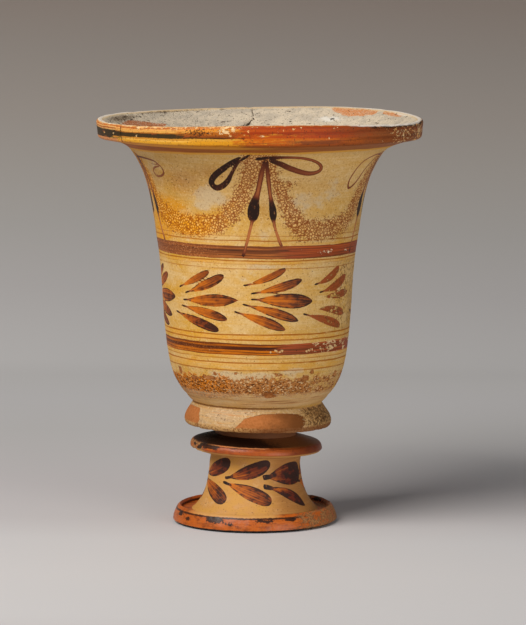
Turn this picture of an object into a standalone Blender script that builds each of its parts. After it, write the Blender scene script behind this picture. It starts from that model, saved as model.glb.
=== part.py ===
"""Pedestal bowl: one hollow vessel of fired clay, a bell-shaped bowl with a broad moulded rim on a
short stem, with a skirt, a round flange and a flared foot that is hollow beneath.

Metres, +Z up. The origin is on the ground, straight below the middle of the rim. The painted front faces
-Y. The whole vessel is one turned outline, which is then bent a little, as the hand-made vessel strays
from true.
"""

import math

import bpy

# Foot: a flared ring with a channel and a raised lip round its top
FOOT_RADIUS = 0.0405
FOOT_RING_RADIUS = 0.0380
FOOT_RING_WIDTH = 0.0050
FOOT_UNDERCUT = 0.0013
CHANNEL_HEIGHT = 0.0062
CHANNEL_RADIUS = 0.0307
LIP_RADIUS = 0.0383
LIP_WIDTH = 0.0022
LIP_RISE = 0.0024

# Spool: the waisted pedestal between the foot and the flange
SPOOL_HEIGHT = 0.0283
SPOOL_RADIUS = 0.0222

# Flange: the round plate above the spool, its top sloping up to the stem
FLANGE_RADIUS = 0.0325
FLANGE_EDGE_HEIGHT = 0.0060
FLANGE_SLOPE_RISE = 0.0030
FLANGE_EDGE_ROUND = 0.0023
FLANGE_UNDER_ROUND = 0.0012

# Stem, and the skirt that stands out round it under the bowl
STEM_RADIUS = 0.0197
STEM_LENGTH = 0.0047
SKIRT_RADIUS = 0.0362
SKIRT_HEIGHT = 0.0114
SKIRT_LIP_WIDTH = 0.0030
SKIRT_RECESS = 0.0033
SKIRT_ROUND = 0.0024

# Bowl: radius of its outer face at the seat on the skirt, at the belly, at the throat and under the rim,
# each with its height above the one below it, and the slope of the wall there in degrees from level
SEAT_RADIUS = 0.0316
SEAT_SLOPE = 43.7
BELLY_RADIUS = 0.0442
BELLY_RISE = 0.0272
BELLY_SLOPE = 82.4
THROAT_RADIUS = 0.0490
THROAT_RISE = 0.0525
THROAT_SLOPE = 81.2
NECK_RADIUS = 0.0620
NECK_RISE = 0.0439
NECK_SLOPE = 52.0

# Rim: a broad upright band over an almost level underside
RIM_RADIUS = 0.0798
RIM_BATTER = 0.0006
RIM_COVE_RISE = 0.0060
RIM_HEIGHT = 0.0100
RIM_ROUND = 0.0016
RIM_LIP_WIDTH = 0.0028
RIM_UNDER_SLOPE = 8.0
RIM_INNER_SLOPE = 27.0

# Slopes at which the turned shapes leave and meet their corners: 0 leads outwards and 90 upwards
RIM_FACE_SLOPE = -92.0
SKIRT_SEAT_SLOPE = -62.0
SKIRT_SIDE_SLOPE = -88.0
SKIRT_UNDERCUT_SLOPE = -92.0
SKIRT_LIP_SLOPE = -150.0
RECESS_SLOPE = 170.0
FLANGE_TOP_SLOPE = -16.0
SPOOL_FOOT_SLOPE = -45.0
FOOT_LIP_SLOPE = -62.0
FOOT_SIDE_SLOPE = -84.0
HOLLOW_SLOPE = 135.0

# Thickness of the clay
BOWL_WALL = 0.0047
FLOOR_THICKNESS = 0.0090
FOOT_WALL = 0.0056
STEM_CORE = 0.0200

# How the vessel strays from a true turned shape: each part's shift towards +X from the foot's own axis,
# its tilt in degrees, right side down as seen from the front, and the waves in the height of the rim
FLANGE_SHIFT = 0.0007
FLANGE_TILT = 1.7
SKIRT_SHIFT = 0.0015
SKIRT_TILT = 1.2
BOWL_SHIFT = 0.0012
BOWL_TILT = 0.65
RIM_SHIFT = 0.0025
RIM_TILT = 0.1
RIM_SLANT = 0.0006
RIM_SLANT_TURN = 48.0
RIM_SADDLE = 0.0006
RIM_SADDLE_TURN = 84.0
RIM_TRIPLE = 0.0006
RIM_TRIPLE_TURN = 44.0

# Fineness of the turned shape
TURN_STEPS = 48
MERGE_DISTANCE = 0.00001
SHARP_ANGLE = 38.0

# A Bezier handle is this share of the straight distance between the curve's two ends
PLAIN_HANDLE = 1 / 3
FULL_HANDLE = 0.41
CORNER_HANDLE = 0.39
SHORT_HANDLE = 0.26
LONG_HANDLE = 0.5
SPOOL_HANDLE = 0.55
COVE_HANDLE = 0.2

CLAY_COLOUR = (0.71, 0.52, 0.27, 1.0)
CLAY_ROUGHNESS = 0.62

# Heights above the ground, worked out upwards
LIP_LEVEL = CHANNEL_HEIGHT + LIP_RISE
SPOOL_TOP = CHANNEL_HEIGHT + SPOOL_HEIGHT
FLANGE_LEVEL = SPOOL_TOP + FLANGE_EDGE_HEIGHT
STEM_FOOT = FLANGE_LEVEL + FLANGE_SLOPE_RISE
SKIRT_LEVEL = STEM_FOOT + STEM_LENGTH
RECESS_LEVEL = SKIRT_LEVEL + SKIRT_RECESS
SEAT_LEVEL = SKIRT_LEVEL + SKIRT_HEIGHT
BELLY_LEVEL = SEAT_LEVEL + BELLY_RISE
THROAT_LEVEL = BELLY_LEVEL + THROAT_RISE
NECK_LEVEL = THROAT_LEVEL + NECK_RISE
RIM_UNDER_LEVEL = NECK_LEVEL + RIM_COVE_RISE
RIM_LEVEL = RIM_UNDER_LEVEL + RIM_HEIGHT
FLOOR_LEVEL = RECESS_LEVEL + FLOOR_THICKNESS
HOLLOW_TOP = FLOOR_LEVEL - STEM_CORE


def direction(slope):
    """A step of length one along the outline, at a slope in degrees: 0 leads outwards and 90 upwards."""
    return math.cos(math.radians(slope)), math.sin(math.radians(slope))


def curve(start, start_slope, end, end_slope, steps, start_share=PLAIN_HANDLE, end_share=PLAIN_HANDLE):
    """Points along a Bezier curve, start and end included, that leaves and arrives at the slopes."""
    span = math.dist(start, end)
    out_r, out_z = direction(start_slope)
    in_r, in_z = direction(end_slope)
    first = (start[0] + out_r * span * start_share, start[1] + out_z * span * start_share)
    second = (end[0] - in_r * span * end_share, end[1] - in_z * span * end_share)
    points = []
    for step in range(steps + 1):
        t = step / steps
        weights = ((1 - t) ** 3, 3 * t * (1 - t) ** 2, 3 * t * t * (1 - t), t ** 3)
        corners = (start, first, second, end)
        points.append(tuple(sum(w * c[axis] for w, c in zip(weights, corners)) for axis in (0, 1)))
    return points


def inside(point, slope, wall):
    """The point on the inner face behind a point of the outer face, at the wall's thickness."""
    along_r, along_z = direction(slope)
    return point[0] - along_z * wall, point[1] + along_r * wall


SEAT = (SEAT_RADIUS, SEAT_LEVEL)
BELLY = (BELLY_RADIUS, BELLY_LEVEL)
THROAT = (THROAT_RADIUS, THROAT_LEVEL)
NECK = (NECK_RADIUS, NECK_LEVEL)


def bowl_inside():
    """From the middle of the bowl's floor up its inner face to the inner edge of the rim."""
    seat = inside(SEAT, SEAT_SLOPE, BOWL_WALL)
    belly = inside(BELLY, BELLY_SLOPE, BOWL_WALL)
    throat = inside(THROAT, THROAT_SLOPE, BOWL_WALL)
    neck = inside(NECK, NECK_SLOPE, BOWL_WALL)
    crest = (RIM_RADIUS - RIM_LIP_WIDTH, RIM_LEVEL - RIM_ROUND / 4)
    points = curve((0.0, FLOOR_LEVEL), 0, seat, SEAT_SLOPE, 4)
    points += curve(seat, SEAT_SLOPE, belly, BELLY_SLOPE, 6, FULL_HANDLE, FULL_HANDLE)[1:]
    points += curve(belly, BELLY_SLOPE, throat, THROAT_SLOPE, 2)[1:]
    points += curve(throat, THROAT_SLOPE, neck, NECK_SLOPE, 6)[1:]
    points += curve(neck, NECK_SLOPE, crest, RIM_INNER_SLOPE, 4)[1:]
    return points


def rim_band():
    """Over the rounded top of the rim, down its upright face and round its lower corner."""
    face_foot = RIM_RADIUS - RIM_BATTER
    top = (RIM_RADIUS - RIM_ROUND, RIM_LEVEL)
    points = curve(top, 0, (RIM_RADIUS, RIM_LEVEL - RIM_ROUND), -90, 3, CORNER_HANDLE, CORNER_HANDLE)
    corner = (face_foot, RIM_UNDER_LEVEL + RIM_ROUND)
    under = (face_foot - RIM_ROUND, RIM_UNDER_LEVEL)
    in_slope = RIM_UNDER_SLOPE - 180
    return points + curve(corner, RIM_FACE_SLOPE, under, in_slope, 2, CORNER_HANDLE, CORNER_HANDLE)


def bowl_outside():
    """From the rim's underside down the flare, the wall and the belly to the seat on the skirt."""
    under = (RIM_RADIUS - RIM_BATTER - RIM_ROUND, RIM_UNDER_LEVEL)
    points = curve(under, RIM_UNDER_SLOPE - 180, NECK, NECK_SLOPE - 180, 5, LONG_HANDLE, COVE_HANDLE)[1:]
    points += curve(NECK, NECK_SLOPE - 180, THROAT, THROAT_SLOPE - 180, 7)[1:]
    points += curve(THROAT, THROAT_SLOPE - 180, BELLY, BELLY_SLOPE - 180, 3)[1:]
    points += curve(BELLY, BELLY_SLOPE - 180, SEAT, SEAT_SLOPE - 180, 7, FULL_HANDLE, FULL_HANDLE)[1:]
    return points


def skirt_and_stem():
    """Down the skirt's flank, round its lip, up into the recess beneath it and down the stem."""
    widest = (SKIRT_RADIUS, SKIRT_LEVEL + SKIRT_ROUND)
    lip = (SKIRT_RADIUS - SKIRT_ROUND / 2, SKIRT_LEVEL)
    lip_inside = (SKIRT_RADIUS - SKIRT_ROUND / 2 - SKIRT_LIP_WIDTH, SKIRT_LEVEL)
    recess = (STEM_RADIUS, RECESS_LEVEL)
    points = curve(SEAT, SKIRT_SEAT_SLOPE, widest, SKIRT_SIDE_SLOPE, 3)[1:]
    points += curve(widest, SKIRT_UNDERCUT_SLOPE, lip, SKIRT_LIP_SLOPE, 2)[1:]
    points += curve(lip_inside, RECESS_SLOPE, recess, 180, 2)
    return points


def flange():
    """Down the stem's foot, out over the sloping top, round the edge and in along the underside."""
    top_edge = (FLANGE_RADIUS - FLANGE_EDGE_ROUND, FLANGE_LEVEL)
    widest = (FLANGE_RADIUS, SPOOL_TOP + FLANGE_UNDER_ROUND + FLANGE_UNDER_ROUND)
    under_edge = (FLANGE_RADIUS - FLANGE_UNDER_ROUND, SPOOL_TOP + FLANGE_UNDER_ROUND)
    points = [(STEM_RADIUS, STEM_FOOT)]
    points += curve(top_edge, FLANGE_TOP_SLOPE, widest, -90, 3, CORNER_HANDLE, CORNER_HANDLE)
    points.append(under_edge)
    points.append((SPOOL_RADIUS, SPOOL_TOP))
    return points


def foot():
    """Down the spool to the channel, over the raised lip, down the flared edge to the resting ring."""
    spool_foot = (CHANNEL_RADIUS, CHANNEL_HEIGHT)
    lip_inside = (LIP_RADIUS - LIP_WIDTH, CHANNEL_HEIGHT)
    lip_top = (LIP_RADIUS - LIP_WIDTH / 2, LIP_LEVEL)
    widest = (FOOT_RADIUS, FOOT_UNDERCUT)
    spool_head = (SPOOL_RADIUS, SPOOL_TOP)
    points = curve(spool_head, -90, spool_foot, SPOOL_FOOT_SLOPE, 7, SPOOL_HANDLE, SHORT_HANDLE)[1:]
    points += [lip_inside, (LIP_RADIUS - LIP_WIDTH, LIP_LEVEL - LIP_WIDTH / 2), lip_top]
    lip_outside = (LIP_RADIUS, LIP_LEVEL - LIP_WIDTH / 2)
    points += curve(lip_outside, FOOT_LIP_SLOPE, widest, FOOT_SIDE_SLOPE, 3)
    points += [(FOOT_RING_RADIUS, 0.0), (FOOT_RING_RADIUS - FOOT_RING_WIDTH, 0.0)]
    return points


def foot_hollow():
    """From the inner edge of the resting ring up the hollow inside the foot to its domed top."""
    mouth = (FOOT_RING_RADIUS - FOOT_RING_WIDTH, 0.0)
    waist = (SPOOL_RADIUS - FOOT_WALL, (SPOOL_TOP + CHANNEL_HEIGHT) / 2 + FOOT_WALL)
    points = curve(mouth, HOLLOW_SLOPE, waist, 90, 5, SHORT_HANDLE, LONG_HANDLE)[1:]
    points += curve(waist, 90, (0.0, HOLLOW_TOP), 180, 5, CORNER_HANDLE, CORNER_HANDLE)[1:]
    return points


def smooth_step(share):
    share = max(0.0, min(1.0, share))
    return share * share * (3 - 2 * share)


def stray(height):
    """The shift towards +X and the tilt, as a slope, of the vessel at a height."""
    stations = (
        (SPOOL_TOP - FLANGE_EDGE_HEIGHT, 0.0, 0.0),
        (SPOOL_TOP, FLANGE_SHIFT, FLANGE_TILT),
        (STEM_FOOT, FLANGE_SHIFT, FLANGE_TILT),
        (SKIRT_LEVEL, SKIRT_SHIFT, SKIRT_TILT),
        (SEAT_LEVEL, BOWL_SHIFT, BOWL_TILT),
        (NECK_LEVEL + RIM_COVE_RISE / 2, BOWL_SHIFT, BOWL_TILT),
        (RIM_UNDER_LEVEL, RIM_SHIFT, RIM_TILT),
    )
    shift, tilt = stations[0][1:]
    for low, high in zip(stations, stations[1:]):
        share = smooth_step((height - low[0]) / (high[0] - low[0]))
        shift += (high[1] - low[1]) * share
        tilt += (high[2] - low[2]) * share
    return shift, math.tan(math.radians(tilt))


def rim_wave(turn, height):
    """How far the rim's top rises at a turn from +X in radians, fading out down its face."""
    wave = RIM_SLANT * math.cos(turn - math.radians(RIM_SLANT_TURN))
    wave += RIM_SADDLE * math.cos(2 * (turn - math.radians(RIM_SADDLE_TURN)))
    wave += RIM_TRIPLE * math.cos(3 * (turn - math.radians(RIM_TRIPLE_TURN)))
    return wave * smooth_step((height - RIM_UNDER_LEVEL) / RIM_HEIGHT)


def bend(point):
    """Moves a point of the true turned shape to its place on the hand-made vessel."""
    shift, slope = stray(point.z)
    turn = math.atan2(point.y, point.x)
    lift = rim_wave(turn, point.z) - slope * point.x
    point.x += shift - RIM_SHIFT
    point.z += lift


def clay_material():
    material = bpy.data.materials.new("painted_clay")
    material.use_nodes = True
    shader = material.node_tree.nodes["Principled BSDF"]
    shader.inputs["Base Color"].default_value = CLAY_COLOUR
    shader.inputs["Roughness"].default_value = CLAY_ROUGHNESS
    shader.inputs["Metallic"].default_value = 0.0
    material.diffuse_color = CLAY_COLOUR
    return material


def turned_object(name, outline, collection):
    """An object whose outline, in radius and height, is turned once round +Z."""
    mesh = bpy.data.meshes.new(name)
    vertices = [(radius, 0.0, height) for radius, height in outline]
    edges = [(index, index + 1) for index in range(len(outline) - 1)]
    mesh.from_pydata(vertices, edges, [])
    turned = bpy.data.objects.new(name, mesh)
    collection.objects.link(turned)
    screw = turned.modifiers.new("turn", "SCREW")
    screw.axis = "Z"
    screw.angle = math.tau
    screw.steps = TURN_STEPS
    screw.render_steps = TURN_STEPS
    screw.use_merge_vertices = True
    screw.merge_threshold = MERGE_DISTANCE
    return turned


def main():
    for old in list(bpy.data.objects):
        bpy.data.objects.remove(old)
    collection = bpy.data.collections.new("pedestal_bowl")
    bpy.context.scene.collection.children.link(collection)

    outline = bowl_inside() + rim_band() + bowl_outside()
    outline += skirt_and_stem() + flange() + foot() + foot_hollow()
    vessel = turned_object("pedestal_bowl", outline, collection)

    graph = bpy.context.evaluated_depsgraph_get()
    mesh = bpy.data.meshes.new_from_object(vessel.evaluated_get(graph))
    vessel.modifiers.clear()
    vessel.data = mesh
    for vertex in mesh.vertices:
        bend(vertex.co)
    mesh.materials.append(clay_material())
    mesh.shade_smooth()
    mesh.set_sharp_from_angle(angle=math.radians(SHARP_ANGLE))


main()
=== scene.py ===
"""The looks of the pedestal bowl: a finely turned vessel with its painting, wear, cracks and chips.

Lengths are in millimetres up to the point where a mesh is made. A turn is an angle round the axis in degrees,
0 at the painted front and positive towards the right of someone who looks at it.
"""

import math

import bpy
import numpy as np
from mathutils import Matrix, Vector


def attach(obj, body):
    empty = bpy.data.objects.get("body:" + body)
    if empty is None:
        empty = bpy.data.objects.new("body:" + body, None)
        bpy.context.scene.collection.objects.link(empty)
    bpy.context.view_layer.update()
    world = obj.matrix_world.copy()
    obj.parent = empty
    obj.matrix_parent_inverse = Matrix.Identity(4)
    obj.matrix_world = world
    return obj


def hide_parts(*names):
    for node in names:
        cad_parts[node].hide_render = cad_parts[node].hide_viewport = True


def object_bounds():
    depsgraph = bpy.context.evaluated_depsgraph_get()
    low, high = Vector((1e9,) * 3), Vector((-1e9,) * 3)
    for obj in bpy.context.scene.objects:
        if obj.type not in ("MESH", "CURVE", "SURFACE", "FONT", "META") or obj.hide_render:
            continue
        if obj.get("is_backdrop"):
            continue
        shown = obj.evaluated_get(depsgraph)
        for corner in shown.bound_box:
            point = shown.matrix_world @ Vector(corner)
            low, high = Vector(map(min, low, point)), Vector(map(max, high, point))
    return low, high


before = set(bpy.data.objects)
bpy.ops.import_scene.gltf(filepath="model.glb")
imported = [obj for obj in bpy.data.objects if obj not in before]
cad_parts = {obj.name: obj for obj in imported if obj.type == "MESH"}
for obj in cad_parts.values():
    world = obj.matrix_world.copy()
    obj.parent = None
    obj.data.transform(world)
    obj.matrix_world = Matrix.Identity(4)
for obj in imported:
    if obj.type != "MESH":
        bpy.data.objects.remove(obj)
CAD_LOW, CAD_HIGH = (tuple(corner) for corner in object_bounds())

# ---- Sizes of the vessel, the same as those of the solid ----

FOOT_RADIUS = 40.5
FOOT_RING_RADIUS = 38.0
FOOT_RING_WIDTH = 5.0
FOOT_UNDERCUT = 1.3
CHANNEL_HEIGHT = 6.2
CHANNEL_RADIUS = 30.7
LIP_RADIUS = 38.3
LIP_WIDTH = 2.2
LIP_RISE = 2.4
SPOOL_HEIGHT = 28.3
SPOOL_RADIUS = 22.2
FLANGE_RADIUS = 32.5
FLANGE_EDGE_HEIGHT = 6.0
FLANGE_SLOPE_RISE = 3.0
FLANGE_EDGE_ROUND = 2.3
FLANGE_UNDER_ROUND = 1.2
STEM_RADIUS = 19.7
STEM_LENGTH = 4.7
SKIRT_RADIUS = 36.2
SKIRT_HEIGHT = 11.4
SKIRT_LIP_WIDTH = 3.0
SKIRT_RECESS = 3.3
SKIRT_ROUND = 2.4
SEAT_RADIUS, SEAT_SLOPE = 31.6, 43.7
BELLY_RADIUS, BELLY_RISE, BELLY_SLOPE = 44.2, 27.2, 82.4
THROAT_RADIUS, THROAT_RISE, THROAT_SLOPE = 49.0, 52.5, 81.2
NECK_RADIUS, NECK_RISE, NECK_SLOPE = 62.0, 43.9, 52.0
RIM_RADIUS = 79.8
RIM_BATTER = 0.6
RIM_COVE_RISE = 6.0
RIM_HEIGHT = 10.0
RIM_ROUND = 1.6
RIM_LIP_WIDTH = 2.8
RIM_UNDER_SLOPE = 8.0
RIM_INNER_SLOPE = 27.0
BOWL_WALL = 4.7
FLOOR_THICKNESS = 9.0
FOOT_WALL = 5.6
STEM_CORE = 20.0

FLANGE_SHIFT, FLANGE_TILT = 0.7, 1.7
SKIRT_SHIFT, SKIRT_TILT = 1.5, 1.2
BOWL_SHIFT, BOWL_TILT = 1.2, 0.65
RIM_SHIFT, RIM_TILT = 2.5, 0.1
RIM_SLANT, RIM_SLANT_TURN = 0.6, 48.0
RIM_SADDLE, RIM_SADDLE_TURN = 0.6, 84.0
RIM_TRIPLE, RIM_TRIPLE_TURN = 0.6, 44.0

PLAIN_HANDLE = 1 / 3
FULL_HANDLE = 0.41
CORNER_HANDLE = 0.39
SHORT_HANDLE = 0.26
LONG_HANDLE = 0.5
SPOOL_HANDLE = 0.55
COVE_HANDLE = 0.2

LIP_LEVEL = CHANNEL_HEIGHT + LIP_RISE
SPOOL_TOP = CHANNEL_HEIGHT + SPOOL_HEIGHT
FLANGE_LEVEL = SPOOL_TOP + FLANGE_EDGE_HEIGHT
STEM_FOOT = FLANGE_LEVEL + FLANGE_SLOPE_RISE
SKIRT_LEVEL = STEM_FOOT + STEM_LENGTH
RECESS_LEVEL = SKIRT_LEVEL + SKIRT_RECESS
SEAT_LEVEL = SKIRT_LEVEL + SKIRT_HEIGHT
BELLY_LEVEL = SEAT_LEVEL + BELLY_RISE
THROAT_LEVEL = BELLY_LEVEL + THROAT_RISE
NECK_LEVEL = THROAT_LEVEL + NECK_RISE
RIM_UNDER_LEVEL = NECK_LEVEL + RIM_COVE_RISE
RIM_LEVEL = RIM_UNDER_LEVEL + RIM_HEIGHT
FLOOR_LEVEL = RECESS_LEVEL + FLOOR_THICKNESS
HOLLOW_TOP = FLOOR_LEVEL - STEM_CORE

# ---- Fineness of the mesh ----

FRONT_COLUMNS = 178
BACK_COLUMNS = 50
COLUMN_GAP = 0.3
# Turns of the cracks, and the extra columns that draw them: steps from the rim's crack, and the first, the
# last and the number of those at the back
BACK_CRACK_TURN = 183.0
RIM_CRACK_TURN = -56.6
RIM_CRACK_COLUMNS = (-0.45, -0.15, 0.0, 0.15, 0.3, 0.55)
BACK_CRACK_COLUMNS = (181.9, 187.9, 16)
CURVE_STEPS = 60
SHARP_ANGLE = 40.0

# Spacing of the rows in millimetres, section by section
INSIDE_ROW = 4.2
MOUTH_ROW = 1.25
RIM_ROW = 0.54
WALL_ROW = 1.0
SKIRT_ROW = 0.88
FLANGE_ROW = 0.82
FOOT_ROW = 0.92
HOLLOW_ROW = 5.0


def direction(slope):
    """A slope in degrees as its share outwards and its share upwards."""
    return math.cos(math.radians(slope)), math.sin(math.radians(slope))


def curve(start, start_slope, end, end_slope, start_share=PLAIN_HANDLE, end_share=PLAIN_HANDLE):
    """Points along a Bezier curve, start and end included, that leaves and arrives at the given slopes."""
    span = math.dist(start, end)
    out_step = np.array(direction(start_slope)) * span * start_share
    in_step = np.array(direction(end_slope)) * span * end_share
    start, end = np.array(start), np.array(end)
    t = np.linspace(0.0, 1.0, CURVE_STEPS + 1)[:, None]
    far = 3 * t * t * (1 - t) * (end - in_step)
    return (1 - t) ** 3 * start + 3 * t * (1 - t) ** 2 * (start + out_step) + far + t ** 3 * end


def line(*corners):
    return np.array(corners, float)


def inside(point, slope, wall):
    """The point one wall thickness in from a point of the outer outline."""
    along_r, along_z = direction(slope)
    return point[0] - along_z * wall, point[1] + along_r * wall


SEAT = (SEAT_RADIUS, SEAT_LEVEL)
BELLY = (BELLY_RADIUS, BELLY_LEVEL)
THROAT = (THROAT_RADIUS, THROAT_LEVEL)
NECK = (NECK_RADIUS, NECK_LEVEL)
FACE_FOOT = RIM_RADIUS - RIM_BATTER
RIM_CORNER = (FACE_FOOT, RIM_UNDER_LEVEL + RIM_ROUND)
RIM_UNDER = (FACE_FOOT - RIM_ROUND, RIM_UNDER_LEVEL)
RIM_TOP = (RIM_RADIUS - RIM_ROUND, RIM_LEVEL)
RIM_CREST = (RIM_RADIUS - RIM_LIP_WIDTH, RIM_LEVEL - RIM_ROUND / 4)


def outline_sections():
    """The outline from the middle of the bowl's floor, over the rim and down to the hollow of the foot, as
    (name, spacing of the rows, runs). Each run is a smooth stretch, and a corner lies between two runs."""
    seat = inside(SEAT, SEAT_SLOPE, BOWL_WALL)
    belly = inside(BELLY, BELLY_SLOPE, BOWL_WALL)
    throat = inside(THROAT, THROAT_SLOPE, BOWL_WALL)
    neck = inside(NECK, NECK_SLOPE, BOWL_WALL)
    low = np.concatenate([
        curve((0.0, FLOOR_LEVEL), 0, seat, SEAT_SLOPE),
        curve(seat, SEAT_SLOPE, belly, BELLY_SLOPE, FULL_HANDLE, FULL_HANDLE)[1:],
        curve(belly, BELLY_SLOPE, throat, THROAT_SLOPE)[1:],
    ])
    high = np.concatenate([
        curve(throat, THROAT_SLOPE, neck, NECK_SLOPE),
        curve(neck, NECK_SLOPE, RIM_CREST, RIM_INNER_SLOPE)[1:],
    ])
    rim_side = (RIM_RADIUS, RIM_LEVEL - RIM_ROUND)
    rim = np.concatenate([
        line(RIM_CREST, RIM_TOP),
        curve(RIM_TOP, 0, rim_side, -90, CORNER_HANDLE, CORNER_HANDLE)[1:],
        line(rim_side, RIM_CORNER)[1:],
        curve(RIM_CORNER, -92, RIM_UNDER, RIM_UNDER_SLOPE - 180, CORNER_HANDLE, CORNER_HANDLE)[1:],
    ])
    wall = np.concatenate([
        curve(RIM_UNDER, RIM_UNDER_SLOPE - 180, NECK, NECK_SLOPE - 180, LONG_HANDLE, COVE_HANDLE),
        curve(NECK, NECK_SLOPE - 180, THROAT, THROAT_SLOPE - 180)[1:],
        curve(THROAT, THROAT_SLOPE - 180, BELLY, BELLY_SLOPE - 180)[1:],
        curve(BELLY, BELLY_SLOPE - 180, SEAT, SEAT_SLOPE - 180, FULL_HANDLE, FULL_HANDLE)[1:],
    ])
    widest = (SKIRT_RADIUS, SKIRT_LEVEL + SKIRT_ROUND)
    lip = (SKIRT_RADIUS - SKIRT_ROUND / 2, SKIRT_LEVEL)
    lip_inside = (lip[0] - SKIRT_LIP_WIDTH, SKIRT_LEVEL)
    recess = (STEM_RADIUS, RECESS_LEVEL)
    flank = np.concatenate([curve(SEAT, -62, widest, -88), curve(widest, -92, lip, -150)[1:]])
    top_edge = (FLANGE_RADIUS - FLANGE_EDGE_ROUND, FLANGE_LEVEL)
    edge = (FLANGE_RADIUS, SPOOL_TOP + 2 * FLANGE_UNDER_ROUND)
    under_edge = (FLANGE_RADIUS - FLANGE_UNDER_ROUND, SPOOL_TOP + FLANGE_UNDER_ROUND)
    round_edge = curve(top_edge, -16, edge, -90, CORNER_HANDLE, CORNER_HANDLE)
    spool_foot = (CHANNEL_RADIUS, CHANNEL_HEIGHT)
    waist = curve((SPOOL_RADIUS, SPOOL_TOP), -90, spool_foot, -45, SPOOL_HANDLE, SHORT_HANDLE)
    lip_in = (LIP_RADIUS - LIP_WIDTH, CHANNEL_HEIGHT)
    lip_shoulder = (LIP_RADIUS - LIP_WIDTH, LIP_LEVEL - LIP_WIDTH / 2)
    lip_top = (LIP_RADIUS - LIP_WIDTH / 2, LIP_LEVEL)
    lip_out = (LIP_RADIUS, LIP_LEVEL - LIP_WIDTH / 2)
    foot_lip = line(lip_in, lip_shoulder, lip_top, lip_out)
    foot_side = curve(lip_out, -62, (FOOT_RADIUS, FOOT_UNDERCUT), -84)
    ring_out = (FOOT_RING_RADIUS, 0.0)
    ring_in = (FOOT_RING_RADIUS - FOOT_RING_WIDTH, 0.0)
    hollow_waist = (SPOOL_RADIUS - FOOT_WALL, (SPOOL_TOP + CHANNEL_HEIGHT) / 2 + FOOT_WALL)
    hollow = np.concatenate([
        curve(ring_in, 135, hollow_waist, 90, SHORT_HANDLE, LONG_HANDLE),
        curve(hollow_waist, 90, (0.0, HOLLOW_TOP), 180, CORNER_HANDLE, CORNER_HANDLE)[1:],
    ])
    return [
        ("inside", INSIDE_ROW, [low]),
        ("mouth", MOUTH_ROW, [high]),
        ("rim", RIM_ROW, [rim]),
        ("wall", WALL_ROW, [wall]),
        ("skirt", SKIRT_ROW, [flank, line(lip, lip_inside), curve(lip_inside, 170, recess, 180)]),
        ("stem", FLANGE_ROW, [line(recess, (STEM_RADIUS, STEM_FOOT))]),
        ("flange", FLANGE_ROW, [line((STEM_RADIUS, STEM_FOOT), top_edge), round_edge]),
        ("flange_under", FLANGE_ROW, [line(edge, under_edge), line(under_edge, (SPOOL_RADIUS, SPOOL_TOP))]),
        ("spool", FOOT_ROW, [waist]),
        ("foot", FOOT_ROW, [line(spool_foot, lip_in), foot_lip, foot_side]),
        ("ring", FOOT_ROW * 2, [line((FOOT_RADIUS, FOOT_UNDERCUT), ring_out), line(ring_out, ring_in)]),
        ("hollow", HOLLOW_ROW, [hollow]),
    ]


SECTION_NAMES = ("inside", "mouth", "rim", "wall", "skirt", "stem", "flange", "flange_under", "spool", "foot",
                 "ring", "hollow")
# The material of each section: 0 wall, 1 rim, 2 mouth, 3 foot
SECTION_MATERIALS = (2, 2, 1, 0, 0, 3, 3, 3, 3, 3, 3, 3)


def resample(points, spacing):
    """The same line with its points at about the given spacing."""
    lengths = np.concatenate([[0.0], np.cumsum(np.hypot(*np.diff(points, axis=0).T))])
    count = max(1, round(lengths[-1] / spacing))
    wanted = np.linspace(0.0, lengths[-1], count + 1)
    return np.stack([np.interp(wanted, lengths, points[:, axis]) for axis in (0, 1)], axis=1)


def build_outline():
    """Rows of the mesh: their radius and height, their section's number, and the slope's outward normal."""
    rows, numbers = [], []
    for number, (_, spacing, runs) in enumerate(outline_sections()):
        for run in runs:
            points = resample(run, spacing)
            if rows:
                points = points[1:]
            rows.append(points)
            numbers += [number] * len(points)
    rows = np.concatenate(rows)
    step = np.gradient(rows, axis=0)
    normal = np.stack([-step[:, 1], step[:, 0]], axis=1)
    normal /= np.maximum(np.hypot(*normal.T), 1e-9)[:, None]
    return rows, np.array(numbers), normal


# ---- Noise and masks on the surface ----

def hashed(ix, iy, iz, seed):
    mixed = (ix * 374761393 + iy * 668265263 + iz * 1440662683 + seed * 1013904223) & 0xFFFFFFFF
    mixed = ((mixed ^ (mixed >> 13)) * 1274126177) & 0xFFFFFFFF
    return ((mixed ^ (mixed >> 16)) & 0xFFFF) / 32767.5 - 1.0


def noise(points, size, seed):
    """Smooth noise between -1 and 1 whose bumps are about size millimetres wide."""
    scaled = points / np.asarray(size, float) + 311.7
    cell = np.floor(scaled).astype(np.int64)
    share = scaled - cell
    share = share * share * (3 - 2 * share)
    total = np.zeros(points.shape[:-1])
    for corner in range(8):
        dx, dy, dz = corner & 1, corner >> 1 & 1, corner >> 2 & 1
        weight = np.where(dx, share[..., 0], 1 - share[..., 0])
        weight = weight * np.where(dy, share[..., 1], 1 - share[..., 1])
        weight = weight * np.where(dz, share[..., 2], 1 - share[..., 2])
        total += weight * hashed(cell[..., 0] + dx, cell[..., 1] + dy, cell[..., 2] + dz, seed)
    return total


def smooth_step(share):
    share = np.clip(share, 0.0, 1.0)
    return share * share * (3 - 2 * share)


def between(value, low, high):
    """0 below low, 1 above high, smooth between them. With low above high it falls instead."""
    return smooth_step((value - low) / (high - low))


def turn_gap(turn, other):
    """How far a turn lies from another one, in degrees from -180 to 180."""
    return (turn - other + 180.0) % 360.0 - 180.0


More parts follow.
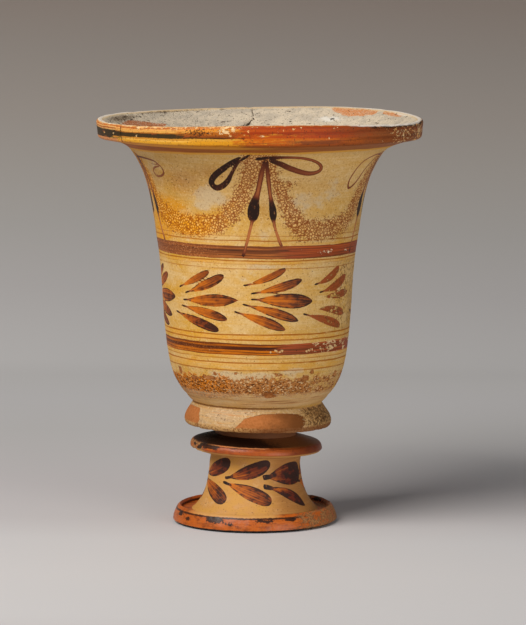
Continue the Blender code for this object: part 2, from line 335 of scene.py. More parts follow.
class Surface:
    """The grid of points on the true turned shape, with what the masks need to know of each."""

    def __init__(self):
        rows, numbers, normal = build_outline()
        front = np.linspace(-90.0, 90.0, FRONT_COLUMNS, endpoint=False)
        back = np.linspace(90.0, 270.0, BACK_COLUMNS, endpoint=False)
        fine = np.concatenate([RIM_CRACK_TURN + np.array(RIM_CRACK_COLUMNS),
                               np.linspace(*BACK_CRACK_COLUMNS)])
        plain = [turn for turn in np.concatenate([front, back]) if np.abs(fine - turn).min() > COLUMN_GAP]
        columns = np.sort(np.concatenate([plain, fine]))
        self.columns = columns
        self.row_radius, self.row_height = rows.T
        self.row_section = numbers
        self.row_arc = np.concatenate([[0.0], np.cumsum(np.hypot(*np.diff(rows, axis=0).T))])
        shape = (len(rows), len(columns))
        self.shape = shape
        self.turn = np.broadcast_to(turn_gap(columns, 0.0), shape)
        self.radius = np.broadcast_to(rows[:, :1], shape)
        self.height = np.broadcast_to(rows[:, 1:], shape)
        self.arc = np.broadcast_to(self.row_arc[:, None], shape)
        self.section = np.broadcast_to(numbers[:, None], shape)
        angle = np.radians(columns - 90.0)
        cosine, sine = np.cos(angle), np.sin(angle)
        self.place = np.stack([rows[:, :1] * cosine, rows[:, :1] * sine, self.height], axis=-1)
        upright = np.broadcast_to(normal[:, 1:], shape)
        self.normal = np.stack([normal[:, :1] * cosine, normal[:, :1] * sine, upright], axis=-1)

    def on(self, *names):
        """1 on the named sections and 0 on the others."""
        numbers = [SECTION_NAMES.index(name) for name in names]
        return np.isin(self.section, numbers).astype(float)

    def at_height(self, part, height, values):
        """What the outline's rows say, such as their radius, at a height on one of the sections."""
        rows = self.row_section == SECTION_NAMES.index(part)
        order = np.argsort(self.row_height[rows])
        return np.interp(height, self.row_height[rows][order], values[rows][order])

    def arc_at(self, part, height):
        return self.at_height(part, height, self.row_arc)

    def radius_at(self, part, height):
        return self.at_height(part, height, self.row_radius)

    def flat(self, turn, chosen=None):
        """Millimetres to the right of a turn and down the outline, for all points or the chosen ones."""
        u = np.radians(turn_gap(self.turn, turn)) * self.radius
        if chosen is None:
            return u, self.arc
        return u[chosen], self.arc[chosen]

    def from_spot(self, part, turn, height):
        """Millimetres to the right of a spot on one section and down the outline from it."""
        u, v = self.flat(turn)
        return u, v - self.arc_at(part, height)

    def glow(self, part, turn, height, wide, tall):
        """A patch that fades out gradually."""
        u, v = self.from_spot(part, turn, height)
        return np.exp(-(u / wide) ** 2 - (v / tall) ** 2) * self.on(part)


def smooth_path(points, count):
    """A smooth open curve through the points, as count points evenly spaced by parameter."""
    points = np.asarray(points, float)
    ends = np.concatenate([[2 * points[0] - points[1]], points, [2 * points[-1] - points[-2]]])
    position = np.linspace(0.0, len(points) - 1.0, count)
    index = np.minimum(position.astype(int), len(points) - 2)
    t = (position - index)[:, None]
    a, b, c, d = (ends[index + shift] for shift in range(4))
    square, cube = 2 * a - 5 * b + 4 * c - d, 3 * b - a - 3 * c + d
    return 0.5 * (2 * b + (c - a) * t + square * t ** 2 + cube * t ** 3)


def nearest_on(path, u, v):
    """Signed distance to a path, positive on its left, and the share of its points passed at that place."""
    start, step = path[:-1], np.diff(path, axis=0)
    lengths = np.maximum(np.hypot(*step.T), 1e-9)
    du, dv = u[:, None] - start[:, 0], v[:, None] - start[:, 1]
    share = np.clip((du * step[:, 0] + dv * step[:, 1]) / lengths ** 2, 0.0, 1.0)
    off_u, off_v = du - share * step[:, 0], dv - share * step[:, 1]
    far = np.hypot(off_u, off_v)
    best = np.argmin(far, axis=1)
    pick = np.arange(len(u))
    side = step[best, 0] * dv[pick, best] - step[best, 1] * du[pick, best]
    along = (best + share[pick, best]) / len(step)
    return np.where(side < 0, far[pick, best], -far[pick, best]), along


def inside_polygon(polygon, u, v):
    """Signed distance to a closed outline, positive inside it."""
    closed = np.concatenate([polygon, polygon[:1]])
    far = np.abs(nearest_on(closed, u, v)[0])
    a, b = closed[:-1], closed[1:]
    crosses = (a[:, 1] > v[:, None]) != (b[:, 1] > v[:, None])
    rise = np.where(np.abs(b[:, 1] - a[:, 1]) < 1e-9, 1e-9, b[:, 1] - a[:, 1])
    meet = a[:, 0] + (v[:, None] - a[:, 1]) / rise * (b[:, 0] - a[:, 0])
    odd = (crosses & (u[:, None] < meet)).sum(axis=1) % 2 == 1
    return np.where(odd, far, -far)


def unroll(surface, part, points, middle):
    """(turn, height) pairs on a section as millimetres right of the middle turn and down the outline."""
    turn, height = np.asarray(points, float).T
    radius = surface.radius_at(part, height)
    return np.stack([np.radians(turn_gap(turn, middle)) * radius, surface.arc_at(part, height)], axis=1)


def near(surface, part_mask, middle, path, margin):
    """The points of a part that lie within a margin of a path's box."""
    u, v = surface.flat(middle)
    inside_u = (u > path[:, 0].min() - margin) & (u < path[:, 0].max() + margin)
    inside_v = (v > path[:, 1].min() - margin) & (v < path[:, 1].max() + margin)
    return inside_u & inside_v & (part_mask > 0)


# ---- The painting: where each stroke, leaf and patch lies ----

# The leaves of the frieze in the three clusters that face the front. Each is its base's turn and height, its
# tip's turn and height, its width, its sag towards the cluster's middle, the darkness of the slip, how much
# of it is worn off, and its tip from pointed (0) to round (1)
FRONT_LEAVES = (
    (-53, 118.5, -28.6, 127.6, 3.6, 0.5, 0.45, 0, 0.9), (-47.7, 116, -19.3, 125.9, 4.8, 0.8, 0.6, 0, 0.9),
    (-50.4, 112.4, -10.9, 114, 6.2, 0, 0.62, 0.1, 0), (-51.7, 109.5, -17.6, 104.3, 4.7, 0.6, 0.74, 0, 0.7),
    (-57.9, 106.3, -23.6, 98.8, 4.8, 0.3, 0.92, 0, 1), (-8, 121.1, 17.2, 129.6, 3.6, 1, 0.4, 0, 0.8),
    (-3.2, 117.4, 27.4, 124, 4.6, 0.7, 0.58, 0, 0.6), (-3.9, 114.6, 35.4, 113.2, 7.4, 0, 0.85, 0.42, 0.3),
    (-8.5, 112.1, 26, 103.8, 4.8, 0.5, 0.72, 0, 0.5), (-13.6, 108.4, 17.8, 99.5, 5, 0.5, 0.5, 0, 0.4),
    (36.2, 121.2, 56.4, 129, 4.2, 1.3, 0.14, 0.5, 1), (40, 117.2, 65.6, 124.2, 4.8, 1, 0.15, 0.5, 0.9),
    (41, 114.4, 70, 116, 4, 0, 0.1, 0.85, 0.8), (36.6, 109.4, 66, 105.4, 4.2, 0.9, 0.1, 0.75, 1),
    (28.6, 107.2, 62, 99.6, 4.4, 0.3, 0.14, 0.6, 1),
)
# One plain cluster, repeated round the sides and the back, as steps from the middle leaf's base
PLAIN_CLUSTER = (
    (-3, 6.6, 23, 15.4, 3.6, 0.6, 0.45, 0, 0.9), (1.5, 3.4, 29.5, 11.6, 4.8, 0.8, 0.55, 0, 0.8),
    (0, 0, 38.5, 1, 6.6, 0, 0.6, 0.1, 0.2), (-2, -2.9, 32.5, -8.6, 5.2, 0.6, 0.55, 0.1, 0.6),
    (-8, -6.2, 26.5, -13.6, 4.8, 0.5, 0.6, 0, 0.8),
)
PLAIN_CLUSTER_TURNS = (-96, 85, 130.5, 176, 221)
PLAIN_CLUSTER_HEIGHT = 112.4

# Pairs of leaves round the spool, as steps from the turn where both begin
SPOOL_PAIR = ((0, 23.7, 59, 31.6, 7.4, 0.9, 0.92, 0, 1), (-2, 21.7, 58, 12.2, 7.2, 1, 0.78, 0, 1))
SPOOL_RIGHT_PAIR = (
    (10.4, 24.5, 74, 25.6, 11.4, -0.4, 1.05, 0, 1), (10.4, 20.3, 63, 9.4, 5.6, 1.8, 1, 0, 0.5),
)
SPOOL_TURNS = (-91.4, -39.5, 63, 114.5, 166, 217)

# The bow and its ribbons: points, half widths along them, and tones from black (0) to orange (1)
LEFT_LOOP = (
    ((-7.3, 183.6), (-11, 181.2), (-15.4, 178.1), (-19.9, 174.9), (-22.6, 172), (-22.9, 169.8),
     (-20.6, 168.2), (-17.4, 169.3), (-14.4, 171.9), (-12.4, 175), (-10.2, 178.6), (-7.9, 181.6)),
    (0.7, 1.35, 1.6, 1.65, 1.6, 1.5, 1.5, 1.55, 1.35, 0.95, 0.85, 0.6),
    (0.1, 0.02, 0.05, 0.05, 0, 0.05, 0.1, 0.1, 0.05, 0.12, 0.15, 0.1),
)
KNOT_STROKE = (
    ((-8.4, 181.4), (-6, 182.9), (-4, 184.3), (-2.3, 185.6)), (0.4, 0.8, 0.75, 0.45), (0.3, 0, 0.05, 0.2),
)
RIGHT_LOOP = (
    ((-0.6, 182.8), (6.9, 183.6), (17.2, 183.6), (25, 182.2), (29.9, 180), (31.4, 177.6), (29, 175.9),
     (23.4, 175.8), (15.4, 178.3), (10, 180.8), (5.4, 182.2)),
    (1, 1.1, 0.9, 0.85, 0.9, 1, 1.1, 1.35, 1.6, 1.5, 0.9),
    (0, 0.1, 0.42, 0.42, 0.4, 0.42, 0.4, 0.35, 0.28, 0.15, 0.05),
)
LEFT_RIBBON = (
    ((3.4, 181.6), (1.9, 174), (0.4, 166.6), (-0.9, 162.6), (-1.6, 159.4), (-2, 156.2), (-2.4, 153.6),
     (-2.7, 152.2), (-3.4, 149.6), (-5.2, 143.4), (-6.6, 139), (-7.9, 135.2)),
    (0.9, 1.3, 1.3, 2, 2.8, 2.9, 2.2, 0.85, 0.75, 0.8, 0.7, 0.95),
    (0.15, 0.4, 0.55, 0.05, 0, 0, 0, 0.35, 0.8, 0.8, 0.5, 0.05),
)
RIGHT_RIBBON = (
    ((4.3, 181.6), (5.5, 173), (6.7, 165.4), (7.5, 161.6), (8.2, 158.6), (8.6, 155.6), (8.8, 153.4),
     (9.1, 152), (10, 148.6), (12.2, 143.4), (13.8, 140.2)),
    (0.9, 1.05, 0.95, 1.25, 1.75, 1.8, 1.3, 0.75, 0.7, 0.8, 0.8),
    (0.12, 0.4, 0.55, 0.1, 0, 0, 0.05, 0.4, 0.8, 0.8, 0.2),
)
FRONT_KNOT = 3.0
LEFT_KNOT, RIGHT_KNOT = -76.0, 78.0
BACK_KNOTS = (147.0, 215.0)
# The loops of the bows to the left and to the right, as far as they reach the front
LEFT_KNOT_LOOP = (
    ((-76, 180.6), (-66, 180.4), (-57.5, 179.6), (-54.6, 178.2), (-52.6, 176.2), (-52.4, 173.8),
     (-55.6, 172.2), (-59.9, 172), (-61.4, 174.4), (-58.4, 176.2), (-53.8, 177)),
    (0.7, 0.6, 0.55, 0.5, 0.55, 0.6, 0.55, 0.5, 0.45, 0.5, 0.4),
    (0.2, 0.3, 0.45, 0.5, 0.4, 0.35, 0.4, 0.5, 0.5, 0.5, 0.6),
)
RIGHT_KNOT_LOOP = (
    ((76, 182.6), (68, 183), (59, 180.4), (54.8, 175.2), (52.9, 170.4), (54.5, 167.3), (60.2, 170.3),
     (65.1, 176.5), (71, 182.2)),
    (0.6, 0.5, 0.45, 0.5, 0.6, 0.65, 0.55, 0.5, 0.4), (0.3, 0.45, 0.55, 0.5, 0.4, 0.3, 0.4, 0.4, 0.4),
)
THIN_LOOP_WIDTH = 0.4
THIN_LOOP_TONE = 0.6

# The sponged garlands, as turns and heights with half widths: the two that face the front, and one that is
# repeated at the back from knot to knot, with its places as shares of the way
LEFT_GARLAND = (
    (-76, 178, 3.4), (-72.5, 169, 3.8), (-68, 160, 3.8), (-59, 153.2, 4.2), (-46, 149.8, 4.2),
    (-31, 149.4, 4.2), (-19.5, 152.4, 3.8), (-11, 160, 3.4), (-6, 168.6, 3), (-3.4, 176, 3.4),
    (-1.4, 181.6, 4.8), (0, 185.6, 5.6),
)
RIGHT_GARLAND = (
    (3, 185.6, 5.4), (4.6, 182, 4), (6.4, 177.5, 2.6), (8, 173.8, 2), (10, 170, 2), (12.8, 165.6, 2.4),
    (16.4, 158.5, 3.2), (20.6, 152.5, 3.8), (25.8, 149, 4.4), (33.5, 147.8, 4.4), (46.2, 148.4, 4.2),
    (56.8, 151.6, 3.8), (63, 157, 3.8), (68, 166, 3.4), (73, 176, 2.8), (76, 182, 2.4),
)
GARLAND_SPUR = ((11, 167.6, 1.2), (15, 169.4, 0.8), (18, 170.8, 0.3), (19.5, 171.8, -0.4))
GARLAND_DROP = (
    (0, 180, 3.6), (0.1, 168, 4.4), (0.2, 158, 4.8), (0.35, 150.6, 5), (0.5, 148.6, 5), (0.65, 150.6, 5),
    (0.8, 158, 4.6), (0.9, 168, 4), (1, 180, 3),
)


# A leaf's blade: the shares of its length where it begins to swell and where it is widest, how round the
# swelling is, and the number of points along its spine
LEAF_NECK = 0.04
LEAF_WIDEST = 0.64
LEAF_SWELLING = 1.15
LEAF_STEPS = 40
# Multiples of it give each leaf a chance number of its own
GOLDEN_STEP = 0.618034
# A leaf's stalk: places along the leaf, half widths and tones, and how bold it is on each part. A leaf of the
# front whose darkness is at most this has none
FAINT_LEAF = 0.12
STALK_SHARES = (0, 0.06, 0.12, 0.19)
STALK_HALF_WIDTHS = (0.46, 0.52, 0.46, 0.36)
STALK_TONES = (0, 0.04, 0.35, 0.8)
SPOOL_STALK_TONES = (0, 0, 0.06, 0.2)
WALL_STALK, SPOOL_STALK, RIGHT_STALK = 1.0, 1.6, 2.6


def leaf_jobs():
    """Each leaf's part of the vessel and its values, and whether it has a black stalk."""
    jobs = [("wall", spec, spec[6] > FAINT_LEAF) for spec in FRONT_LEAVES]
    for number, middle in enumerate(PLAIN_CLUSTER_TURNS):
        for spec in PLAIN_CLUSTER:
            start = (spec[0] + middle, spec[1] + PLAIN_CLUSTER_HEIGHT)
            tip = (spec[2] + middle, spec[3] + PLAIN_CLUSTER_HEIGHT)
            dark = spec[6] + 0.1 * math.sin(3.0 * number)
            jobs.append(("wall", start + tip + spec[4:6] + (dark,) + spec[7:], True))
    for middle in SPOOL_TURNS:
        for spec in SPOOL_PAIR:
            jobs.append(("spool", (spec[0] + middle, spec[1], spec[2] + middle) + spec[3:], True))
    return jobs + [("spool", spec, True) for spec in SPOOL_RIGHT_PAIR]


def leaf_shape(surface, part, spec, middle):
    """The leaf's spine and its closed outline, in millimetres on the unrolled surface."""
    base_turn, base_height, tip_turn, tip_height, width, sag = spec[:6]
    roundness = spec[8]
    ends = unroll(surface, part, ((base_turn, base_height), (tip_turn, tip_height)), middle)
    chord = ends[1] - ends[0]
    length = math.hypot(*chord)
    across = np.array([-chord[1], chord[0]]) / length
    if tip_height < base_height:
        across = -across
    share = np.linspace(0.0, 1.0, LEAF_STEPS)
    spine = ends[0] + share[:, None] * chord + (4 * share * (1 - share) * sag)[:, None] * across
    late = np.clip((share - LEAF_WIDEST) / (1 - LEAF_WIDEST), 0.0, 1.0)
    swell = np.clip((share - LEAF_NECK) / (LEAF_WIDEST - LEAF_NECK), 0.0, 1.0)
    swell = np.sin(np.pi / 2 * swell) ** LEAF_SWELLING
    swell = swell * (1 - late ** (2 + roundness)) ** (1 - 0.5 * roundness)
    half = np.maximum(width / 2 * swell, 0.4 * between(share, 0.6, 0.4))
    sides = spine + half[:, None] * across, spine - half[:, None] * across
    return spine, np.concatenate([sides[0], sides[1][::-1]]), half


def paint_leaves(surface):
    """Signed distance to the leaves' outlines and the place along and across a leaf, its darkness, wear and
    chance number, then the leaves' stalks as strokes."""
    count = surface.turn.shape
    best = np.full(count, -6.0)
    fields = {name: np.zeros(count) for name in ("along", "across", "dark", "worn", "chance")}
    stalks = []
    for number, (part, spec, stalked) in enumerate(leaf_jobs()):
        middle = (spec[0] + spec[2]) / 2
        spine, outline, half = leaf_shape(surface, part, spec, middle)
        if stalked:
            points = np.stack([np.interp(STALK_SHARES, np.linspace(0, 1, len(spine)), spine[:, axis])
                               for axis in (0, 1)], axis=1)
            spool_bold = RIGHT_STALK if spec[0] == SPOOL_RIGHT_PAIR[0][0] else SPOOL_STALK
            bold = WALL_STALK if part == "wall" else spool_bold
            tones = STALK_TONES if part == "wall" else SPOOL_STALK_TONES
            stalks.append((part, middle, points, [bold * width for width in STALK_HALF_WIDTHS], tones))
        mask = near(surface, surface.on(part), middle, outline, 3.0)
        u, v = surface.flat(middle, mask)
        far = inside_polygon(outline, u, v)
        side, along = nearest_on(spine, u, v)
        reach = np.maximum(np.interp(along, np.linspace(0, 1, len(half)), half), 0.4)
        found = far > best[mask]
        index = tuple(axis[found] for axis in np.nonzero(mask))
        best[index] = far[found]
        fields["along"][index] = along[found]
        fields["across"][index] = (side / reach)[found]
        fields["dark"][index] = spec[6]
        fields["worn"][index] = spec[7]
        fields["chance"][index] = math.modf(number * GOLDEN_STEP)[0]
    return best, fields, stalks


def stroke(surface, points, widths, tones, part="wall"):
    """A stroke as its part, its middle turn, its points on the unrolled surface, half widths and tones."""
    middle = sum(point[0] for point in points) / len(points)
    return part, middle, unroll(surface, part, points, middle), widths, tones


def paint_strokes(surface, strokes):
    """For thin strokes: signed distance to the stroke's middle line, its half width there, and its tone. The
    half width is 0 away from every stroke."""
    side_field = np.full(surface.turn.shape, 6.0)
    room_field = np.full(surface.turn.shape, 6.0)
    width_field = np.zeros(surface.turn.shape)
    tone_field = np.zeros(surface.turn.shape)
    for part, middle, points, widths, tones in strokes:
        path = smooth_path(points, 12 * len(points))
        mask = near(surface, surface.on(part), middle, path, 6.0)
        side, along = nearest_on(path, *surface.flat(middle, mask))
        spread = np.linspace(0, 1, len(widths))
        half, tone_here = np.interp(along, spread, widths), np.interp(along, spread, tones)
        # A stroke is cut off straight at both of its ends
        half = np.where((along > 0.0) & (along < 1.0), half, 0.0)
        room = np.abs(side) - half
        found = (room < 4.0) & (room < room_field[mask])
        index = tuple(axis[found] for axis in np.nonzero(mask))
        room_field[index], side_field[index] = room[found], side[found]
        width_field[index], tone_field[index] = (half * (room < 1.5))[found], tone_here[found]
    return side_field, width_field, tone_field


def turned(points, step):
    return tuple((turn + step, height) for turn, height in points)


def paint_garlands(surface):
    """How far inside a sponged garland each point lies, in millimetres."""
    best = np.full(surface.turn.shape, -8.0)
    garlands = [LEFT_GARLAND, RIGHT_GARLAND, GARLAND_SPUR]
    knots = (RIGHT_KNOT,) + BACK_KNOTS + (LEFT_KNOT + 360.0,)
    for start, end in zip(knots, knots[1:]):
        way = end - start
        garlands.append([(start + way * share, height, half) for share, height, half in GARLAND_DROP])
    for garland in garlands:
        widths = [half for _, _, half in garland]
        _, middle, points, _, _ = stroke(surface, [item[:2] for item in garland], widths, widths)
        path = smooth_path(points, 6 * len(points))
        mask = near(surface, surface.on("wall"), middle, path, 9.0)
        side, along = nearest_on(path, *surface.flat(middle, mask))
        half = np.interp(along, np.linspace(0, 1, len(widths)), widths)
        best[mask] = np.maximum(best[mask], half - np.abs(side))
    return best


# Where the slip is gone: bare clay on the wall and the skirt, cream chips on the rim. Each spot is a turn, a
# height, a half width and a half height
BARE_SPOTS = {
    "wall": (
        (-46.5, 74.2, 2, 1.2), (-33.6, 75.2, 3.8, 1.3), (-28.5, 77.2, 1.4, 1), (-13.7, 78.1, 1.7, 0.7),
        (13.3, 77.7, 2.4, 0.9), (33.6, 75.4, 2.4, 1.7), (38.3, 78.2, 1.4, 1.2), (8.6, 67, 3.2, 1.9),
        (-62, 77, 1.6, 2), (8.7, 89, 1.2, 0.5), (15.4, 89.4, 2.4, 0.45), (33.9, 88.9, 1.8, 0.6),
        (36.4, 89.6, 0.9, 0.5), (43.4, 89.4, 1, 0.5), (49.2, 90.4, 1, 0.5), (55.4, 91.2, 1.2, 0.5),
        (64, 91.8, 1.2, 0.5), (46, 88.8, 1.4, 0.7), (52, 89.3, 1.3, 0.8), (58, 90, 1.2, 0.7),
        (71, 91.4, 1.2, 0.6), (-28.9, 89.1, 0.8, 0.4), (40.2, 136.7, 1.6, 0.4), (44.6, 137.1, 2, 0.55),
        (62, 136.8, 0.8, 0.6), (100, 74, 4, 1.6), (150, 70, 3, 1.8), (205, 76, 3.4, 1.5), (236, 69, 3, 1.4),
    ),
    "skirt": (
        (118, 54, 6, 2.6), (200, 53, 8, 2.2),
    ),
    "rim": (
        (-70.6, 193.9, 1.3, 0.5), (-62, 194.1, 1, 0.5), (-47.2, 193.9, 0.8, 1), (-3.8, 196.6, 1.1, 0.6),
        (0.8, 194.4, 1.2, 0.5), (5.8, 196.2, 0.5, 0.5), (8, 197, 0.5, 0.6), (11.6, 197.4, 0.7, 1.1),
        (14, 198, 0.5, 0.4), (26.3, 197.9, 1.2, 0.4), (24.5, 193.2, 0.6, 0.5), (23.2, 192.6, 0.3, 0.3),
        (46, 198.8, 2, 0.4), (53, 198.9, 3, 0.5), (59.5, 199, 2.4, 0.5), (110, 196, 2, 0.8),
        (165, 197, 3, 0.7), (228, 195, 2.4, 0.9),
    ),
}
# Patches by their outlines, as turns and heights: bare clay on the skirt's front and left, clay that shows
# through the deposit inside the mouth
BARE_PATCHES = (
    ("skirt",
     ((-26, 52), (-10, 55.3), (4, 57.2), (22, 57.5), (36, 56.8), (43, 55.2), (42, 52.8), (36, 50.4),
      (22, 50.4), (0, 50.6), (-16, 51))),
    ("skirt",
     ((-58, 57.9), (-55.5, 55.2), (-52, 53), (-53.5, 50.4), (-55, 48.4), (-104, 48.4), (-104, 56),
      (-78, 58.2))),
    ("mouth",
     ((257, 195.2), (247, 195.8), (238, 194.9), (230, 194), (225, 192.6), (231, 190.4), (242, 190),
      (254, 192))),
    ("mouth",
     ((153, 198.6), (147, 199.3), (138, 199.3), (129, 198.9), (129, 196.6), (136, 195.6), (143, 195.6),
      (150, 197))),
    ("mouth", ((126, 199.2), (119, 199.4), (110, 199.3), (111, 197.6), (119, 197), (125, 197.6))),
)
# Black patches in the red glaze, given in the same way
BLACK_SPOTS = {
    "flange": (
        (-46, 39.6, 6.4, 1.9), (-57, 39.4, 2.4, 1.4), (-62, 37.8, 2, 1.2), (-72, 38.8, 2, 0.8),
        (-22, 40, 5, 0.5), (140, 38.6, 6, 1.4), (236, 39.2, 4, 1.2),
    ),
    "foot": (
        (-30, 5.6, 5, 1.5), (-56, 4.4, 1.8, 0.8), (-68, 5.7, 3.4, 1.1), (-18, 4.2, 2.4, 0.5),
        (26, 5.8, 3.4, 1), (6, 5.8, 5, 0.9), (120, 6, 6, 1), (222, 5, 5, 1.2),
    ),
}
# Stains and darker patches: a spot as above and its strength. On the rim, brown is black specks and pale is
# flaked slip
STAINS = {
    "gold": {
        "wall": (
            (-62, 152, 9, 6, 0.8), (-48, 149, 9, 4, 0.8), (-36, 147, 9, 3, 0.5), (-56, 160, 10, 5, 0.45),
            (-40, 166, 8, 3.4, 0.35), (-66, 143, 8, 3, 0.6), (-78, 150, 9, 12, 0.4), (-72, 112, 10, 12, 0.3),
            (-56, 96, 13, 3, 0.5), (-20, 95.8, 16, 2, 0.45), (18, 96, 20, 2, 0.4), (-46, 84, 12, 3, 0.5),
            (-40, 132, 16, 1.8, 0.5), (14, 132, 18, 1.6, 0.45), (0, 84, 18, 2, 0.35), (60, 126, 6, 8, 0.25),
            (150, 160, 20, 14, 0.5), (230, 110, 20, 20, 0.4), (-44, 171, 12, 6, 0.3), (-54, 156, 8, 5, 0.5),
            (-45, 158.5, 6, 3.6, 0.5), (-70, 138, 8, 4, 0.5), (-64, 147, 8, 4, 0.6), (-60, 143, 6, 2.4, 0.4),
        ),
        "spool": ((-60, 10, 7, 4, 0.4), (10, 9.6, 8, 2, 0.3)),
    },
    "pale": {
        "wall": (
            (-26, 164.5, 7.5, 4.6, 0.9), (-31, 158.5, 4, 2.4, 0.7), (-18, 162, 4.5, 3.5, 0.6),
            (4, 146, 4, 3, 0.5), (26, 162, 9, 6, 0.6), (44, 166, 8, 10, 0.4), (-22, 76.8, 10, 2.6, 1),
            (2, 77.4, 8, 2, 0.9), (24, 79, 7, 2, 0.7), (5, 130.6, 7, 1.6, 0.8), (-2, 124, 9, 4, 0.5),
            (-58, 176, 9, 5, 0.5), (60, 118, 6, 6, 0.3), (32, 130, 9, 2.4, 0.4), (0, 65.4, 26, 2, 0.5),
            (110, 150, 16, 14, 0.5), (190, 120, 18, 14, 0.4),
        ),
        "skirt": ((-34, 56, 9, 3.5, 0.9), (-8, 57.6, 9, 1.6, 0.7)),
        "spool": ((-20, 28, 6, 3, 0.5),),
        "mouth": ((112, 199.2, 16, 1.6, 0.9), (148, 194, 12, 3, 0.5), (200, 195, 16, 3, 0.3)),
        "rim": (
            (-11.5, 196.2, 8, 2.8, 1.2), (-31, 197.4, 5, 1.4, 0.9), (-44, 198, 6, 1, 0.7),
            (60, 194.5, 14, 5, 0.6), (76, 193, 9, 5, 0.7), (-62, 196.6, 8, 1.2, 0.5), (150, 196, 16, 3, 0.4),
        ),
    },
    "brown": {
        "wall": (
            # On the wall, most brown spots darken the slip under the rim on the upper left and towards both
            # sides
            (-40, 171, 13, 7, 0.75), (-62, 172, 8, 6, 0.5), (-22, 176, 9, 5, 0.55), (4, 158, 4.5, 7, 0.5),
            (30, 170, 22, 6, 0.3), (58, 140, 9, 18, 0.3), (72, 92, 8, 10, 0.35), (76, 150, 7, 24, 0.5),
            (78, 112, 7, 16, 0.45), (66, 72, 10, 7, 0.4), (-84, 120, 8, 30, 0.3), (200, 100, 20, 20, 0.3),
        ),
        "skirt": ((64, 54, 11, 5, 1),),
        "mouth": ((215, 198.4, 26, 1.6, 0.9), (175, 190, 40, 2, 0.4), (250, 197, 20, 2.6, 1.1)),
        "rim": (
            (-21, 196, 7, 2, 1.4), (66, 194, 10, 5, 0.7), (50, 197.6, 14, 0.9, 1.2), (-66, 196, 10, 3, 0.4),
            (230, 195, 14, 3, 0.6),
        ),
    },
}

# Cracks as part, points, half width and depth
CRACKS = (
    ("rim", ((RIM_CRACK_TURN - 0.1, 199.2), (RIM_CRACK_TURN + 0.15, 196.5), (RIM_CRACK_TURN, 193),
             (RIM_CRACK_TURN + 0.2, 189.4)), 0.22, 0.5),
    ("mouth", ((BACK_CRACK_TURN - 0.2, 199), (BACK_CRACK_TURN, 197.5), (BACK_CRACK_TURN - 0.2, 195.6),
               (BACK_CRACK_TURN - 0.1, 194.9)), 0.22, 0.4),
    ("mouth", ((BACK_CRACK_TURN - 0.6, 194.3), (BACK_CRACK_TURN + 0.7, 193.4), (BACK_CRACK_TURN + 1.8, 192.5),
               (BACK_CRACK_TURN + 2.6, 191.8)), 0.4, 0.9),
    ("mouth", ((BACK_CRACK_TURN + 1.6, 192.5), (BACK_CRACK_TURN + 2.7, 191.7), (BACK_CRACK_TURN + 3.6, 190.7),
               (BACK_CRACK_TURN + 4.4, 189.4)), 0.62, 1.4),
    ("mouth", ((152.5, 198.7), (154.7, 197), (156.6, 195), (158.8, 193), (160.5, 190.5)), 0.18, 0.2),
    ("mouth", ((RIM_CRACK_TURN, 199), (RIM_CRACK_TURN + 0.4, 196), (RIM_CRACK_TURN, 190)), 0.22, 0.4),
)


def spot_distance(surface, part, turn, height, wide, tall):
    """Signed distance in millimetres to an oval patch, positive inside it."""
    u, v = surface.from_spot(part, turn, height)
    far = (1 - np.hypot(u / wide, v / tall)) * min(wide, tall)
    return np.where(surface.on(part) > 0, np.maximum(far, -5.0), -5.0)


def patch_distance(surface, part, corners):
    """Signed distance in millimetres to a patch given by its corners, positive inside it."""
    middle = sum(corner[0] for corner in corners) / len(corners)
    outline = unroll(surface, part, corners, middle)
    mask = near(surface, surface.on(part), middle, outline, 5.0)
    far = np.full(surface.turn.shape, -5.0)
    far[mask] = np.maximum(inside_polygon(outline, *surface.flat(middle, mask)), -5.0)
    return far


def bare_and_black(surface):
    """How far inside a bare patch, and inside a black one, each point lies, in millimetres."""
    bare, black = np.full(surface.turn.shape, -5.0), np.full(surface.turn.shape, -5.0)
    for part, spots in BARE_SPOTS.items():
        for spot in spots:
            bare = np.maximum(bare, spot_distance(surface, part, *spot))
    for part, corners in BARE_PATCHES:
        bare = np.maximum(bare, patch_distance(surface, part, corners))
    for part, spots in BLACK_SPOTS.items():
        for spot in spots:
            black = np.maximum(black, spot_distance(surface, part, *spot))
    return bare, black


def stains(surface):
    """How strong each kind of stain is at each point."""
    made = {}
    for kind, parts in STAINS.items():
        made[kind] = np.zeros(surface.turn.shape)
        for part, spots in parts.items():
            for *spot, strength in spots:
                made[kind] = made[kind] + strength * surface.glow(part, *spot)
    return made


def cracks(surface):
    """Distance to the nearest crack less its half width, and how deep the clay is broken there."""
    gap = np.full(surface.turn.shape, 3.0)
    depth = np.zeros(surface.turn.shape)
    for part, points, half, deep in CRACKS:
        middle = points[0][0]
        path = smooth_path(unroll(surface, part, points, middle), 24)
        mask = near(surface, surface.on(part), middle, path, 3.0)
        far = np.abs(nearest_on(path, *surface.flat(middle, mask))[0])
        gap[mask] = np.minimum(gap[mask], far - half)
        depth[mask] = np.maximum(depth[mask], deep * between(far, half * 2.2, half * 0.4))
    return gap, depth


# ---- The shape's own wear ----

# How deep the slip's edge round bare clay is
BARE_DEPTH = 0.1
# The turned groove between the bowl's foot and its wall
GROOVE_HEIGHT = 63.4
GROOVE_HALF_WIDTH = 0.55


